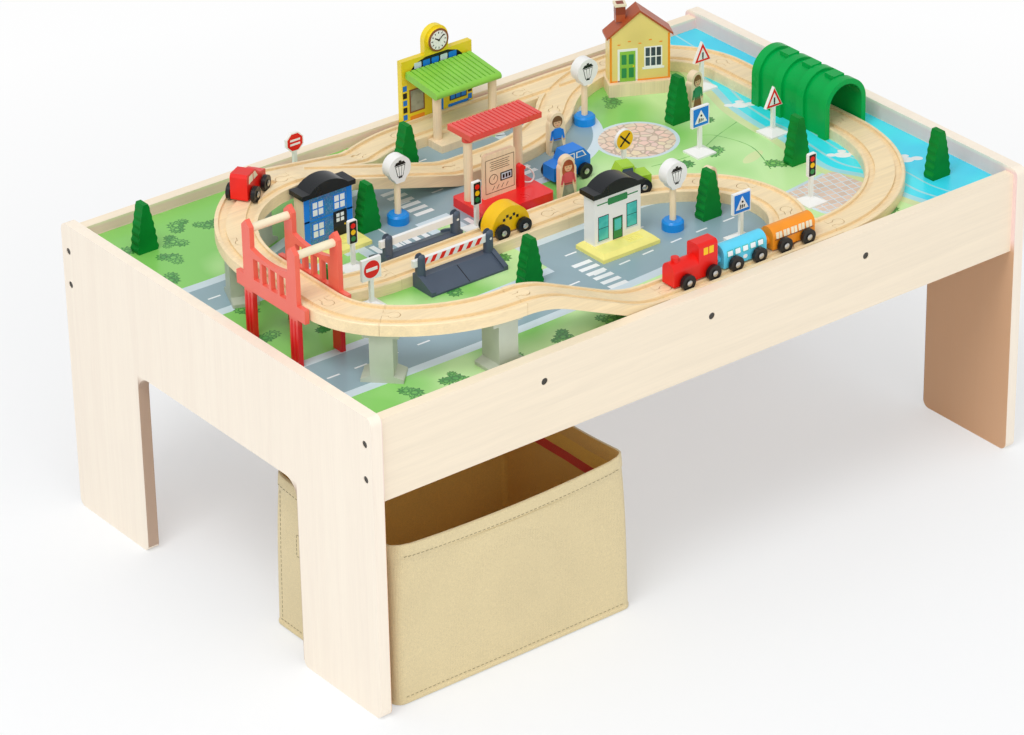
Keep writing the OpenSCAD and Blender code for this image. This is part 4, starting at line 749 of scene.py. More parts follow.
class TRAINTABLE_OT_board_print(bpy.types.Operator):
    """Print lawns, roads, water and paved places on the play board"""

    bl_idname = "train_table.board_print"
    bl_label = "Board print"

    def execute(self, context):
        reach_x, reach_y = (v / MM - EDGE_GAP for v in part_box("play_board")[1][:2])
        lawn = self.sheet("lawn_print")
        lawn.rect("lawn", 2 * reach_x, 2 * reach_y, depth=0.03)
        lawn.make()
        self.roads()
        self.water(reach_x, reach_y)
        self.paving()
        self.bushes()
        return {"FINISHED"}

    def sheet(self, name):
        return Piece(name, "table", "board_print", GROUND)

    def roads(self):
        roads = self.sheet("road_print")
        for level, (path, width) in enumerate(ROADS):
            curve = board_curve(path, 12)
            roads.ribbon("kerb", curve, width + 2 * KERB, depth=0.05 + level * 0.004)
            roads.ribbon("road", curve, width, depth=0.09 + level * 0.004)
            run = 0.0
            for (x0, y0), (x1, y1) in zip(curve, curve[1:]):
                run += math.hypot(x1 - x0, y1 - y0)
                if run > DASH_PITCH:
                    run = 0.0
                    turn = math.degrees(math.atan2(y1 - y0, x1 - x0))
                    roads.rect("marking", 14, 2.2, (x0 + x1) / 2, (y0 + y1) / 2, turn=turn)
        roads.disc("kerb", 108, 128, -125, depth=0.046)
        roads.disc("road", 86, 128, -125, depth=0.086)
        for x, y, turn in WALKWAYS:
            roads.on(GROUND @ place(x, y, 0, turn))
            for i in range(6):
                roads.rect("marking", 6, 22, (i - 2.5) * 11, depth=0.16)
        roads.make()

    def water(self, reach_x, reach_y):
        water = self.sheet("water_print")
        shore = board_curve(SHORE, 8)
        water.ribbon("sand", board_curve([(x - 4, y) for x, y in SHORE], 8), 11, depth=0.044)
        water.shape("water", [(reach_x, -reach_y), (reach_x, reach_y), *reversed(shore)], depth=0.06)
        for out, width in ((4, 8), (20, 3), (38, 2)):
            ripple = [(x + out, y) for x, y in shore if x + out < RIPPLE_END]
            water.ribbon("shallows", ripple, width, depth=0.08)
        for x, y in CLOUDS:
            for i, (dx, dy, size) in enumerate(PUFFS):
                water.disc("marking", size, x + dx, y + dy, size * 0.7, turn=-40, depth=0.1 + 0.01 * i)
        water.make()

    def paving(self):
        paving = self.sheet("paving_print")
        paving.disc("kerb", 88, 167, 66, 86, depth=0.05)
        paving.disc("cobbles", 80, 167, 66, 78, depth=0.07)
        paving.rect("kerb", 82, 66, 240, -146, 10, turn=8, depth=0.042)
        paving.rect("setts", 74, 58, 240, -146, 8, turn=8, depth=0.07)
        paving.disc("sand", 34, 232, -38, 13, turn=20, depth=0.05)
        for path in FOOTPATHS:
            paving.ribbon("bush_light", board_curve(path, 8), 1.0, depth=0.07)
        paving.make()

    def bushes(self):
        bushes = self.sheet("bush_print")
        for i, (x, y, count) in enumerate(BUSHES):
            for k in range(count):
                angle, beside = k * 2.3 + i, k > 0
                dx, dy = 10 * math.cos(angle) * beside, 9 * math.sin(angle) * beside
                bushes.on(GROUND @ place(x + dx, y + dy, 0, 17 * k))
                for share, finish, depth in BUSH_RINGS:
                    bushes.add(self.star((20 - 3 * k) * share), finish, turn=25 * share, depth=depth + 0.01 * k)
        bushes.make()

    def star(self, size):
        bm = flat_disc(size, size, 20)
        rim = [v for v in bm.verts if v.co.length > size / 4]
        bmesh.ops.scale(bm, vec=(0.7, 0.7, 1), verts=rim[::2])
        return bm


BIN_CORNER = 9
FABRIC_THICKNESS = 2.2
# Share by which the bin's walls lean in up to the rim, and where and how far its corners are pulled in there
LEAN, CORNER_START, CORNER_PULL = 0.018, 0.8, 5.0
# Length and pitch of the stitches, and the square of stitches on the bin's left end
STITCH, STITCH_PITCH = 3.0, 5.1
PATCH_Y, PATCH_LEVEL, PATCH_HALF, PATCH_PITCH = 46, 105, 12, 4.8


class Fabric:
    """The slack shape of the bin's walls."""

    def __init__(self, sizes):
        low, high = (Vector(corner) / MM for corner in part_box("storage_bin"))
        self.middle = ((low + high) / 2).xy.to_3d()
        self.half_l, self.half_w, self.height = (high.x - low.x) / 2 - 1, (high.y - low.y) / 2 - 1, high.z
        self.bulge, self.sag = sizes.bin_bulge / MM, sizes.bin_sag / MM

    def on_long_side(self, x, y):
        return abs(y) / self.half_w > abs(x) / self.half_l

    def settle(self, point, level, out):
        """Where a point of the plan comes to lie at a level, with the fabric standing out there."""
        x, y, rise = point.x / self.half_l, point.y / self.half_w, level / self.height
        swell = self.bulge * math.sin(math.pi * rise) * (1 - min(1, abs(x * y)))
        edge = Vector((point.x, point.y, 0))
        if self.on_long_side(point.x, point.y):
            slack = 1 - x * x
            edge.y += math.copysign(out + swell * slack, y)
        else:
            slack = 1 - y * y
            edge.x += math.copysign(out + swell * slack, x)
        edge *= 1 - LEAN * rise
        corner = max(0.0, abs(x * y) - CORNER_START) / (1 - CORNER_START) * rise**2
        edge -= CORNER_PULL * corner**2 * Vector((math.copysign(1, x), math.copysign(1, y), 0))
        return edge + self.middle + Vector((0, 0, level - max(0, self.sag * rise**2 * slack)))

    def wall(self, inset, rings):
        """A floor and the wall that is drawn up from it, ring by ring."""
        bm = flat_rect(2 * (self.half_l - inset), 2 * (self.half_w - inset), BIN_CORNER - inset)
        bmesh.ops.subdivide_edges(bm, edges=[e for e in bm.edges if e.calc_length() > 40], cuts=22)
        plan = {v: v.co.copy() for v in bm.verts}
        edges = [e for e in bm.edges if e.is_boundary]
        for v, co in plan.items():
            v.co = self.settle(co, *rings[0])
        for ring in rings[1:]:
            made = bmesh.ops.extrude_edge_only(bm, edges=edges)["geom"]
            fresh = [g for g in made if isinstance(g, bmesh.types.BMVert)]
            below = [next(e.other_vert(v) for e in v.link_edges if e.other_vert(v) in plan) for v in fresh]
            plan = {v: plan[under] for v, under in zip(fresh, below)}
            for v, co in plan.items():
                v.co = self.settle(co, *ring)
            edges = [g for g in made if isinstance(g, bmesh.types.BMEdge) and g.is_boundary]
        return bm


class TRAINTABLE_OT_storage_bin(bpy.types.Operator):
    """Sew the fabric storage bin with its hem, piping, stitches and stripes"""

    bl_idname = "train_table.storage_bin"
    bl_label = "Storage bin"

    def execute(self, context):
        fabric = Fabric(context.scene.train_table_sizes)
        self.shell(fabric)
        self.seams(fabric)
        return {"FINISHED"}

    def shell(self, fabric):
        top = fabric.height
        # Rings of the walls: level, and how far the fabric stands out there
        sides = [(12 + 11 * i, 0.0) for i in range(13)]
        hem = [(top - 15.4, 0.0), (top - 14.5, -0.7), (top - 13.6, 1.0), (top - 7, 1.1), (top - 0.6, 1.0), (top, 0.2)]
        wall = fabric.wall(0, [(1.2, 1.0), (3.6, 1.0), (4.8, 0.0), *sides, *hem])
        stripes = [(134, 0.0), (138, 0.0), (152, 0.0)]
        lining = fabric.wall(FABRIC_THICKNESS, [(2.6, 0.0), *sides[:11], *stripes, (top - 7, 0.0), (top, 0.2)])
        bmesh.ops.reverse_faces(lining, faces=lining.faces)
        shell = Piece("fabric_bin", "storage_bin", "bin_fabric")
        outside, inside = shell.index("bin_outside"), shell.index("bin_inside")
        bands = ((122, 134, shell.index("stripe_red")), (138, 152, shell.index("stripe_gold")))
        for face in wall.faces:
            face.material_index = outside
        for face in lining.faces:
            face.material_index = inside
            at = face.calc_center_median() - fabric.middle
            if at.x > fabric.half_l - BIN_CORNER and abs(at.y) < fabric.half_w - BIN_CORNER:
                for under, over, finish in bands:
                    if under - fabric.sag < at.z < over:
                        face.material_index = finish
        shell.absorb(wall)
        shell.absorb(lining)
        rims = [e for e in shell.bm.edges if e.is_boundary]
        for face in bmesh.ops.bridge_loops(shell.bm, edges=rims)["faces"]:
            face.material_index = outside
        bmesh.ops.recalc_face_normals(shell.bm, faces=shell.bm.faces)
        shell.make("storage_bin")

    def seams(self, fabric):
        seams = Piece("bin_seams", "storage_bin", "bin_fabric")
        half_l, half_w = fabric.half_l, fabric.half_w

        def stitch(x, y, level, out=0.0, turn=0):
            across, along = (RIGHT if x > 0 else LEFT), (BACK if y > 0 else FRONT)
            side = along if fabric.on_long_side(x, y) else across
            seams.on(shift(*fabric.settle(Vector((x, y, 0)), level, out)) @ side)
            seams.rect("thread", STITCH, 0.6, depth=0.25, turn=turn)

        for level, out in ((fabric.height - 12.2, 1.0), (7.6, 0.0)):
            for side in (-1, 1):
                for i in range(-25, 26):
                    stitch(i * STITCH_PITCH, side * half_w, level, out)
                for i in range(-17, 18):
                    stitch(side * half_l, i * STITCH_PITCH, level, out)
        for side in (-1, 1):
            for end in (-1, 1):
                for i in range(28):
                    stitch(end * half_l, side * (half_w - 12), 12 + STITCH_PITCH * i, turn=90)
        for i in range(-2, 3):
            for edge in (-PATCH_HALF, PATCH_HALF):
                stitch(-half_l, PATCH_Y + edge, PATCH_LEVEL + PATCH_PITCH * i, turn=90)
                stitch(-half_l, PATCH_Y + PATCH_PITCH * i, PATCH_LEVEL + edge)
        seams.make()


class TRAINTABLE_OT_station_print(bpy.types.Operator):
    """Print the station's wall and finish its clock"""

    bl_idname = "train_table.station_print"
    bl_label = "Station print"

    def execute(self, context):
        wall = place(STATION_X, STATION_FACE_Y, BOARD_TOP) @ FRONT
        piece = Piece("station_print", "table", "station_yellow", wall)
        # A bowed window band over the canopy, and windows, a door and a bench below it
        piece.shape("black", [(-34, 65), (34, 65), (27, 72), (14, 76), (-14, 76), (-27, 72)])
        for x, width, finish in (
            (-24, 9, "kerb"), (-13, 9, "blue"), (-2, 9, "blue"), (9, 9, "kerb"), (20, 10, "blue"),
        ):
            piece.rect(finish, width, 6.5, x, 69.5, 1.0, layer=2)
        for x in (-41, 41):
            for i in range(6):
                piece.rect("blue" if i % 2 else "black", 5, 6, x, 8 + 8 * i, 0.6)
        piece.panes("grey_cloth", "brown", -26, 32, 19, 26, 1, 1, 1.6)
        piece.rect("orange", 18, 7, -26, 12, 1.0)
        piece.rect("blue", 14, 44, 0, 22)
        piece.panes("glass_print", "white", 0, 30, 9, 18, 1, 2, 1.0, layer=2)
        piece.panes("blue", "black", 26, 30, 22, 24, 3, 2)
        piece.rect("blue", 26, 3, 26, 13)
        for x in (17, 35):
            piece.rect("blue", 3, 9, x, 7)
        piece.make()
        dial = place(STATION_X, CLOCK_FACE_Y, BOARD_TOP + CLOCK_RISE) @ FRONT
        clock = Piece("station_clock", "table", "white_paint", dial)
        clock.disc("brown", 25.0, sides=48, depth=0.9)
        clock.disc("white", 20.5, sides=48, depth=1.1)
        # Marks and hands: turn, distance of the middle from the dial's middle, width, length and depth
        marks = [(30 * i, 8.3, 0.9, 2.2, 1.25) for i in range(12)]
        for turn, out, width, reach, depth in (*marks, (-58, 2.75, 1.3, 5.5, 1.4), (52, 4.0, 1.0, 8.0, 1.4)):
            angle = math.radians(turn)
            clock.rect("black", width, reach, out * math.sin(angle), out * math.cos(angle), turn=-turn, depth=depth)
        clock.disc("black", 2.2, depth=1.6)
        clock.make()
        return {"FINISHED"}


class TRAINTABLE_OT_fuel_print(bpy.types.Operator):
    """Draw the pump on both faces of the fuel station's panel"""

    bl_idname = "train_table.fuel_print"
    bl_label = "Fuel station print"

    def execute(self, context):
        piece = Piece("fuel_panel_print", "table", "plain_wood")
        panel = place(FUEL[0] - 3, FUEL[1] + 3, BOARD_TOP + FUEL_BASE_RISE)
        for plane, _ in both_faces(panel, FUEL_PANEL_HALF):
            piece.on(plane)
            for x, y, width, height in ((-17.5, 23, 0.6, 36), (17.5, 23, 0.6, 36), (0, 41, 35, 0.6), (0, 5, 35, 0.6)):
                piece.rect("ink", width, height, x, y)
            piece.rect("black", 15, 9, 8, 19, 0.8)
            piece.rect("kerb", 12, 6.5, 8, 19, 0.5, layer=2)
            for i in range(3):
                piece.rect("black", 2.4, 4.2, 4.4 + 3.6 * i, 19, 0.3, layer=3)
            piece.disc("ink", 11, -8, 19)
            piece.disc("plain", 9.4, -8, 19, layer=2)
            piece.rect("ink", 0.7, 4.4, -7, 20.6, turn=-30, layer=3)
            for i in range(5):
                piece.rect("ink", 24 - 3 * (i % 2), 0.6, 0, 29 + 2.2 * i)
            for i in range(4):
                piece.rect("ink", 5, 0.6, -8 + 5.6 * i, 9.5, turn=55)
        piece.make()
        return {"FINISHED"}


# The cottage's roof and its chimney, from the solids: the roof's height and half span, the chimney's place and sizes
ROOF_RISE, ROOF_HALF, WALL_HEIGHT = 26, 32, 51
CHIMNEY_X, CHIMNEY_HALF, CHIMNEY_RISE = 19, 5, 17


class TRAINTABLE_OT_house_prints(bpy.types.Operator):
    """Print doors and windows on the cottage, the town house and the shop"""

    bl_idname = "train_table.house_prints"
    bl_label = "House prints"

    def execute(self, context):
        self.cottage()
        self.townhouse()
        self.shop()
        return {"FINISHED"}

    def cottage(self):
        piece = Piece("cottage_print", "table", "house_yellow")
        middle = place(*HOUSE, BOARD_TOP + HOUSE_RISE, HOUSE_TURN) @ shift(y=HOUSE_HALF)
        for wall, _ in both_faces(middle, HOUSE_HALF):
            piece.on(wall)
            piece.rect("white", 21, 37, -13, 18.5)
            piece.rect("lime_print", 16.5, 34, -13, 17.2, layer=2)
            for x, y in ((-16.8, 25), (-9.2, 25), (-16.8, 10), (-9.2, 10)):
                piece.rect("green_print", 5.2, 11, x, y, 0.5, layer=3)
            piece.disc("yellow", 1.8, -6.6, 17, layer=4)
            piece.panes("glass_print", "white", 14, 26, 19, 23, 3, 2, 1.4)
            piece.rect("white", 23, 2.4, 14, 13.4, layer=2)
            for x in (-30.6, 30.6):
                piece.rect("orange", 2.2, 51, x, 25.5)
            piece.rect("orange", 60, 1.6, 0, 0.9)
            for i in range(5):
                piece.rect("orange", 3.2, 1.2, -22 + 11 * i, 42 + (i % 2) * 3, 0.3)
        piece.make()
        top = middle @ shift(-CHIMNEY_X, 0, WALL_HEIGHT)
        level = ROOF_RISE - (CHIMNEY_X - CHIMNEY_HALF) * ROOF_RISE / ROOF_HALF + CHIMNEY_RISE
        cap = Piece("chimney_cap", "table", "roof_brown", top)
        cap.rect("cream", 12.4, 12.4, lift=level, depth=2.6, corner=0.8)
        cap.rect("chimney", 7.5, 7.5, lift=level + 2.6, depth=0.3, corner=0.5)
        for plane in (FRONT, BACK, RIGHT, LEFT):
            cap.on(top @ plane @ shift(z=CHIMNEY_HALF)).rect("chimney", 10, 9, 0, level - 4.5, depth=0.2)
        cap.make()

    def townhouse(self):
        piece = Piece("townhouse_print", "table", "town_blue")
        middle = place(*TOWNHOUSE, BOARD_TOP + BLOCK_RISE)
        for wall, _ in both_faces(middle, BLOCK_HALF):
            piece.on(wall)
            for x in (-25.2, 25.2):
                piece.rect("blue", 6.4, 51, x, 25.5)
            for x, y in ((-12, 37), (13.5, 37), (-12, 14)):
                piece.panes("marking", "blue", x, y, 15, 17, 2, 2, 1.5)
            piece.rect("dome", 16, 27, 13.5, 13.5, 0.8, layer=1.5)
            piece.panes("marking", "dome", 13.5, 20, 11.5, 11.5, 2, 2, 1.3, layer=2)
            piece.disc("yellow", 1.8, 19, 11, layer=2)
            piece.rect("blue", 57, 1.8, 0, 25.6)
        piece.make()
        sides = Piece("townhouse_sides", "table", "plain_wood")
        for plane in (LEFT, RIGHT):
            sides.on(middle @ plane @ shift(z=TOWNHOUSE_HALF_L)).rect("plain", 16, 51, 0, 25.5)
        sides.make()

    def shop(self):
        piece = Piece("shop_print", "table", "shop_white")
        for wall, _ in both_faces(place(*SHOP, BOARD_TOP + BLOCK_RISE), BLOCK_HALF):
            piece.on(wall)
            piece.rect("green_print", 50, 1.2, 0, 43)
            piece.rect("green_print", 24, 7, 0, 43, 1.4, layer=2)
            for x, y, height in ((-17.5, 17, 26), (17.5, 21, 26)):
                piece.panes("teal", "black", x, y, 13, height, 1, 2, 0.7)
                piece.rect("kerb", 15, 1.6, x, y - height / 2 - 1)
            piece.panes("green_print", "black", 0, 12, 12, 23.4, 1, 1, 0.8)
            piece.rect("teal", 8, 12, 0, 15.5, 0.4, layer=3)
            piece.disc("black", 1.4, 4.2, 10, layer=4)
        piece.make()
        steps = Piece("base_steps", "table", "base_yellow")
        for x, y in (TOWNHOUSE, SHOP):
            steps.on(place(x + 13, y - 20, BOARD_TOP + BLOCK_RISE))
            for i in range(5):
                steps.rect("base_yellow", 17, 1.4, 0, 3.2 * i, depth=0.6)
        steps.make()


class TRAINTABLE_OT_sign_prints(bpy.types.Operator):
    """Print the road signs, traffic lights and lamp heads"""

    bl_idname = "train_table.sign_prints"
    bl_label = "Sign prints"

    def execute(self, context):
        signs = Piece("sign_print", "table", "white_paint")

        def plates(places):
            for x, y in places:
                yield signs.on(place(x, y - SIGN_HALF, BOARD_TOP + SIGN_RISE) @ FRONT)

        for plate in plates(ENTRY_SIGNS):
            plate.disc("red", 18)
            plate.rect("white", 13, 3.4, layer=2)
        for plate in plates(ROUND_SIGNS):
            plate.disc("yellow", 20.5)
            for turn in (45, -45):
                plate.rect("black", 2.0, 17, turn=turn, layer=2)
        for plate in plates(SQUARE_SIGNS):
            plate.rect("blue", 19.5, 19.5, corner=0.8)
            plate.shape("white", [(-8, -6.5), (8, -6.5), (0, 7.5)], layer=2)
            for i in range(3):
                plate.rect("black", 1.3, 4.5 - i, -2.4 + 2.4 * i, -3.6, turn=-12, layer=3)
            plate.disc("black", 2.4, 0.3, 1.2, layer=3)
        for plate in plates(OCTAGON_SIGNS):
            plate.disc("red", 19.4, sides=8, turn=22.5)
            for y in (2.2, -2.2):
                plate.rect("white", 12, 2.2, 0, y, layer=2)
        for plate in plates(TRIANGLE_SIGNS):
            plate.shape("red", [(-10.2, -10.4), (10.2, -10.4), (0, 9.6)])
            plate.shape("white", [(-6.6, -8.2), (6.6, -8.2), (0, 4.8)], layer=2)
            plate.rect("black", 1.8, 5.5, 0, -3.2, layer=3)
            plate.disc("black", 1.9, 0, -7, layer=3)
        for plate in plates(TRAFFIC_LIGHTS):
            plate.rect("black", 8.4, 23, corner=1.0)
            for y, finish in ((6.8, "red"), (0, "yellow"), (-6.8, "green_print")):
                plate.disc(finish, 5.4, 0, y, layer=2)
        signs.make()
        self.lamps()
        return {"FINISHED"}

    def lamps(self):
        lamps = Piece("lamp_print", "table", "lamp_white")
        for x, y in LAMPS:
            for head, _ in both_faces(place(x, y, BOARD_TOP + LAMP_RISE), LAMP_HALF):
                lamps.on(head)
                lamps.shape("black", [(-7, 4), (7, 4), (4.5, 7.4), (-4.5, 7.4)])
                lamps.rect("black", 3, 1.6, 0, 8.2)
                lamps.shape("black", [(-6, 3.4), (6, 3.4), (3.4, -8), (-3.4, -8)])
                for points in (
                    [(-5.2, 2.8), (-2.2, 2.8), (-1.3, -7.4), (-2.9, -7.4)],
                    [(-1.6, 2.8), (1.6, 2.8), (0.8, -7.4), (-0.8, -7.4)],
                    [(2.2, 2.8), (5.2, 2.8), (2.9, -7.4), (1.3, -7.4)],
                ):
                    lamps.shape("white", points, layer=2)
                lamps.rect("black", 4.4, 1.6, 0, -9)
        lamps.make()


class TRAINTABLE_OT_figure_prints(bpy.types.Operator):
    """Print plain townspeople on the wooden figures"""

    bl_idname = "train_table.figure_prints"
    bl_label = "Figure prints"

    def execute(self, context):
        people = Piece("figure_print", "table", "plain_wood")
        clothes = [("blue", "grey_cloth"), ("pink", "grey_cloth"), ("green_print", "brown"), ("orange", "blue")]
        for i, ((x, y, turn), (top, lower)) in enumerate(zip(FIGURES, clothes)):
            long_hair = i % 2
            hair = "auburn" if long_hair else "hair"
            people.on(place(x, y, BOARD_TOP, turn) @ FRONT @ shift(z=FIGURE_HALF))
            for side in (-1, 1):
                people.rect("ink", 3.4, 4, side * 2.6, 3, 0.8)
            people.shape(lower, [(-7, 4), (7, 4), (4.4, 18), (-4.4, 18)])
            people.rect("ink", 8.8, 1.0, 0, 17.4, layer=3)
            if long_hair:
                people.disc(hair, 13.5, 0, 32, 22)
            people.shape(top, [(-4.4, 16), (4.4, 16), (6, 27), (3, 29.5), (-3, 29.5), (-6, 27)], layer=2)
            for side in (-1, 1):
                people.rect(top, 2.4, 11, side * 6.4, 22, 0.9, turn=side * 10, layer=2)
                people.disc("skin", 2.4, side * 7.4, 16, layer=3)
            people.disc(hair, 11.5, 0, 36.4, 13, layer=1.5)
            people.disc("skin", 8.4, 0, 35, 9.6, layer=2)
            people.shape(hair, [(-4.4, 36.8), (4.4, 36.8), (3.4, 40.6), (0, 41.6), (-3.4, 40.6)], layer=3)
            for side in (-1, 1):
                people.disc("black", 0.9, side * 1.7, 35.4, sides=12, layer=3)
            people.rect("pink", 2.2, 0.6, 0, 32.4, 0.2, layer=3)
        people.make()
        return {"FINISHED"}


class TRAINTABLE_OT_crossing_trim(bpy.types.Operator):
    """Stripe the front barrier and draw the seam on the crossing's ramps"""

    bl_idname = "train_table.crossing_trim"
    bl_label = "Crossing trim"

    def execute(self, context):
        stripes = Piece("barrier_stripes", "barrier_front", "white_paint")
        pivot = place(CROSSING_X + 40.5, INNER_Y - 26.0, BOARD_TOP + BARRIER_RISE)
        for face, sign in both_faces(pivot, BARRIER_HALF):
            stripes.on(face)
            for i in range(7):
                x = -sign * (13 + 10.6 * i)
                stripes.shape("red", [(x - 4.5, -3.2), (x + 0.5, -3.2), (x + 4.5, 3.2), (x - 0.5, 3.2)])
        stripes.make()
        seam = Piece("crossing_seam", "table", "crossing_grey")
        tilt = math.atan2(10, 21)
        for side in (-1, 1):
            ramp = place(CROSSING_X, INNER_Y + side * 40.0, BOARD_TOP + 7)
            seam.on(ramp @ Matrix.Rotation(-side * tilt, 4, "X")).rect("black", 0.9, 22.6, depth=0.12)
        seam.make()
        return {"FINISHED"}


class TRAINTABLE_OT_vehicle_trim(bpy.types.Operator):
    """Add hub caps, windows and prints to the vehicles"""

    bl_idname = "train_table.vehicle_trim"
    bl_label = "Vehicle trim"

    def execute(self, context):
        for name, (x, y, turn, level, axles, _) in VEHICLES.items():
            for ahead, end in zip(axles, AXLES):
                caps = Piece("hubs_" + name + end, name + end, "wheel_black")
                axle = place(x, y, level + AXLE_RISE, turn) @ shift(ahead)
                for plane, _ in both_faces(axle, HUB_HALF):
                    caps.on(plane).join(self.cap(), "silver")
                caps.make()
        for name, (x, y, turn, level, _, slot) in VEHICLES.items():
            trim = Piece(name + "_print", name, slot)
            for plane, sign in both_faces(place(x, y, level, turn), BODY_HALF):
                getattr(self, name)(trim.on(plane), sign)
            trim.make()
        return {"FINISHED"}

    def cap(self):
        bm = bmesh.new()
        bmesh.ops.create_cone(bm, cap_ends=True, segments=24, radius1=3.0, radius2=1.6, depth=0.7)
        bmesh.ops.translate(bm, verts=bm.verts, vec=(0, 0, 0.35))
        return bm

    def outline(self, trim, finish, sign, points, layer=1):
        trim.shape(finish, [(sign * x, y) for x, y in points][::sign], layer=layer)

    def window_row(self, trim):
        """Moves to the plane of a coach's windows, which leans in with the roof, and lists their middles."""
        trim.on(trim.plane @ shift(0, 16, -0.28) @ Matrix.Rotation(math.radians(-9), 4, "X"))
        return [(i - 2) * 9.4 for i in range(5)]

    def loco(self, trim, sign):
        for x in (-18.9, -12.1):
            trim.rect("yellow", 5.4, 7.4, sign * x, 28.6, 0.4)

    def blue_coach(self, trim, sign):
        trim.disc("marking", 5.4, 0, 7.4, 4.2)
        for x in self.window_row(trim):
            trim.rect("teal", 7.6, 6.6, x, 0, 0.6, depth=0.5)
            trim.rect("marking", 6.0, 5.0, x, 0, 0.4, depth=0.6)

    def orange_coach(self, trim, sign):
        for x in self.window_row(trim):
            trim.rect("cream", 7.4, 6.4, x, 0, 0.6, depth=0.6)
            trim.rect("orange", 0.7, 6.4, x, depth=0.66)
        trim.rect("brown", 48, 0.7, 0, -3.9, depth=0.5)

    def red_car(self, trim, sign):
        self.outline(trim, "cream", sign, ((18.6, 17.6), (17.4, 25), (8.6, 25), (8.6, 17.6)))
        self.outline(trim, "cream", sign, ((6.6, 17.6), (6.6, 25), (2.6, 25), (-3.4, 17.6)))

    def yellow_car(self, trim, sign):
        for i in range(5):
            trim.rect("black", 3, 3, sign * (-8 + 4 * i), 15.5 + 3 * (i % 2))

    def blue_car(self, trim, sign):
        for points in (
            ((7.4, 19.6), (4.2, 26.2), (-3, 26.2), (-3, 19.6)),
            ((-5, 19.6), (-5, 26.2), (-13.4, 26.2), (-18, 19.6)),
        ):
            self.outline(trim, "white", sign, points)
            middle = sum(map(Vector, points), Vector((0, 0))) / 4
            self.outline(trim, "blue", sign, [middle + (Vector(p) - middle) * 0.72 for p in points], 2)

    def green_truck(self, trim, sign):
        self.outline(trim, "glass_print", sign, ((11, 18.4), (7.4, 26.2), (-3, 26.2), (-4, 18.4)))


# The camera fitted to the photo: focal length and width in pixels, and pose in metres
FOCAL_PIXELS, PHOTO_WIDTH = 4361.29, 1024
CAMERA_POSE = Matrix(
    (
        (0.79009654, 0.3062641, -0.53098942, -2.343),
        (-0.61277229, 0.37193989, -0.69725952, -3.01474),
        (-0.01604941, 0.87627793, 0.48153857, 2.22272),
        (0, 0, 0, 1),
    )
)
# Lights: name, place and size in metres, and power
LIGHTS = (("key_light", (-2.2, -1.0, 3.9), 1.8, 76.0), ("fill_light", (-0.9, -3.6, 1.9), 2.2, 26.0))
LIT_POINT = Vector((0, 0, 0.2))


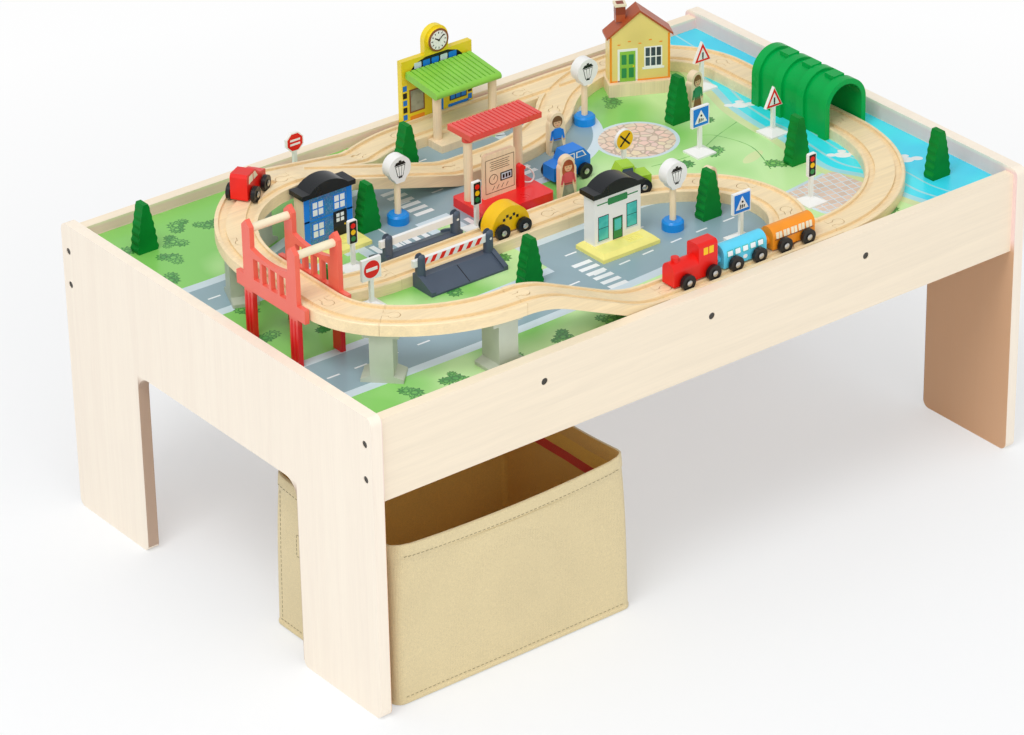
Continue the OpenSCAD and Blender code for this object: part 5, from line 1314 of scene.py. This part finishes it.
class TRAINTABLE_OT_stage(bpy.types.Operator):
    """Set the pale floor, the studio light and the camera"""

    bl_idname = "train_table.stage"
    bl_label = "Stage"

    def execute(self, context):
        scene = context.scene
        scene.view_settings.view_transform = "Standard"
        nodes = Nodes("stage_floor")
        nodes.surface((0.88, 0.9, 0.92), 0.9)
        self.whiten(nodes)
        bm = bmesh.new()
        bmesh.ops.create_grid(bm, x_segments=1, y_segments=1, size=20.0)
        mesh = bpy.data.meshes.new("stage_floor")
        bm.to_mesh(mesh)
        bm.free()
        mesh.materials.append(nodes.material)
        floor = bpy.data.objects.new("stage_floor", mesh)
        scene.collection.objects.link(floor)
        floor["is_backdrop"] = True
        scene.world = scene.world or bpy.data.worlds.new("World")
        scene.world.use_nodes = True
        backdrop = scene.world.node_tree.nodes["Background"]
        backdrop.inputs["Color"].default_value = (1.0, 1.0, 1.0, 1.0)
        backdrop.inputs["Strength"].default_value = 0.66
        for name, where, size, power in LIGHTS:
            lamp = bpy.data.lights.new(name, "AREA")
            lamp.size = size
            lamp.energy = power
            light = bpy.data.objects.new(name, lamp)
            light.location = where
            light.rotation_euler = (LIT_POINT - Vector(where)).to_track_quat("-Z", "Y").to_euler()
            scene.collection.objects.link(light)
        camera = bpy.data.cameras.new("camera")
        camera.sensor_width = 36.0
        camera.lens = FOCAL_PIXELS / PHOTO_WIDTH * camera.sensor_width
        camera.clip_end = 100.0
        view = bpy.data.objects.new("camera", camera)
        view.matrix_world = CAMERA_POSE
        scene.collection.objects.link(view)
        scene.camera = view
        return {"FINISHED"}

    def whiten(self, nodes):
        """Show the floor nearly white, more so away from the table, and keep the table's shadow on it."""
        rays = nodes.add("ShaderNodeLightPath").outputs
        mirrored = nodes.maths("MAXIMUM", rays["Is Glossy Ray"], rays["Is Transmission Ray"])
        seen = nodes.maths("MAXIMUM", rays["Is Camera Ray"], mirrored)
        away = nodes.add("ShaderNodeVectorMath", {0: nodes.coord}, operation="LENGTH").outputs["Value"]
        share = nodes.maths("MULTIPLY", seen, nodes.span(away, 0.35, 1.2, 0.38, 0.97))
        glow = nodes.add("ShaderNodeEmission", {"Color": (1.0, 1.0, 1.0, 1.0), "Strength": 1.0}).outputs[0]
        blend = nodes.add("ShaderNodeMixShader", {0: share, 1: nodes.shader.outputs[0], 2: glow}).outputs[0]
        nodes.feed(nodes.tree.nodes["Material Output"].inputs["Surface"], blend)


STEPS = (
    TRAINTABLE_OT_finishes,
    TRAINTABLE_OT_stage,
    TRAINTABLE_OT_hose,
    TRAINTABLE_OT_board_print,
    TRAINTABLE_OT_storage_bin,
    TRAINTABLE_OT_station_print,
    TRAINTABLE_OT_fuel_print,
    TRAINTABLE_OT_house_prints,
    TRAINTABLE_OT_sign_prints,
    TRAINTABLE_OT_figure_prints,
    TRAINTABLE_OT_crossing_trim,
    TRAINTABLE_OT_vehicle_trim,
)


class TRAINTABLE_PT_panel(bpy.types.Panel):
    """Lists the colours, sizes and steps of the train table"""

    bl_label = "Train Table"
    bl_space_type = "VIEW_3D"
    bl_region_type = "UI"
    bl_category = "Train Table"

    def draw(self, context):
        layout = self.layout
        for group in (context.scene.train_table_sizes, context.scene.train_table_colours):
            for key in type(group).__annotations__:
                layout.prop(group, key)
        for step in STEPS:
            layout.operator(step.bl_idname)


CLASSES = (TrainTableColours, TrainTableSizes, *STEPS, TRAINTABLE_PT_panel)


def register():
    for cls in CLASSES:
        bpy.utils.register_class(cls)
    bpy.types.Scene.train_table_colours = PointerProperty(type=TrainTableColours)
    bpy.types.Scene.train_table_sizes = PointerProperty(type=TrainTableSizes)


def unregister():
    del bpy.types.Scene.train_table_colours
    del bpy.types.Scene.train_table_sizes
    for cls in reversed(CLASSES):
        bpy.utils.unregister_class(cls)


def main():
    register()
    for step in STEPS:
        module, name = step.bl_idname.split(".")
        getattr(getattr(bpy.ops, module), name)()
    boxes = {"cad": CAD_BOX, "visual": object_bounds()}
    {key: [[float(v) for v in corner] for corner in box] for key, box in boxes.items()}


if __name__ == "__main__":
    main()
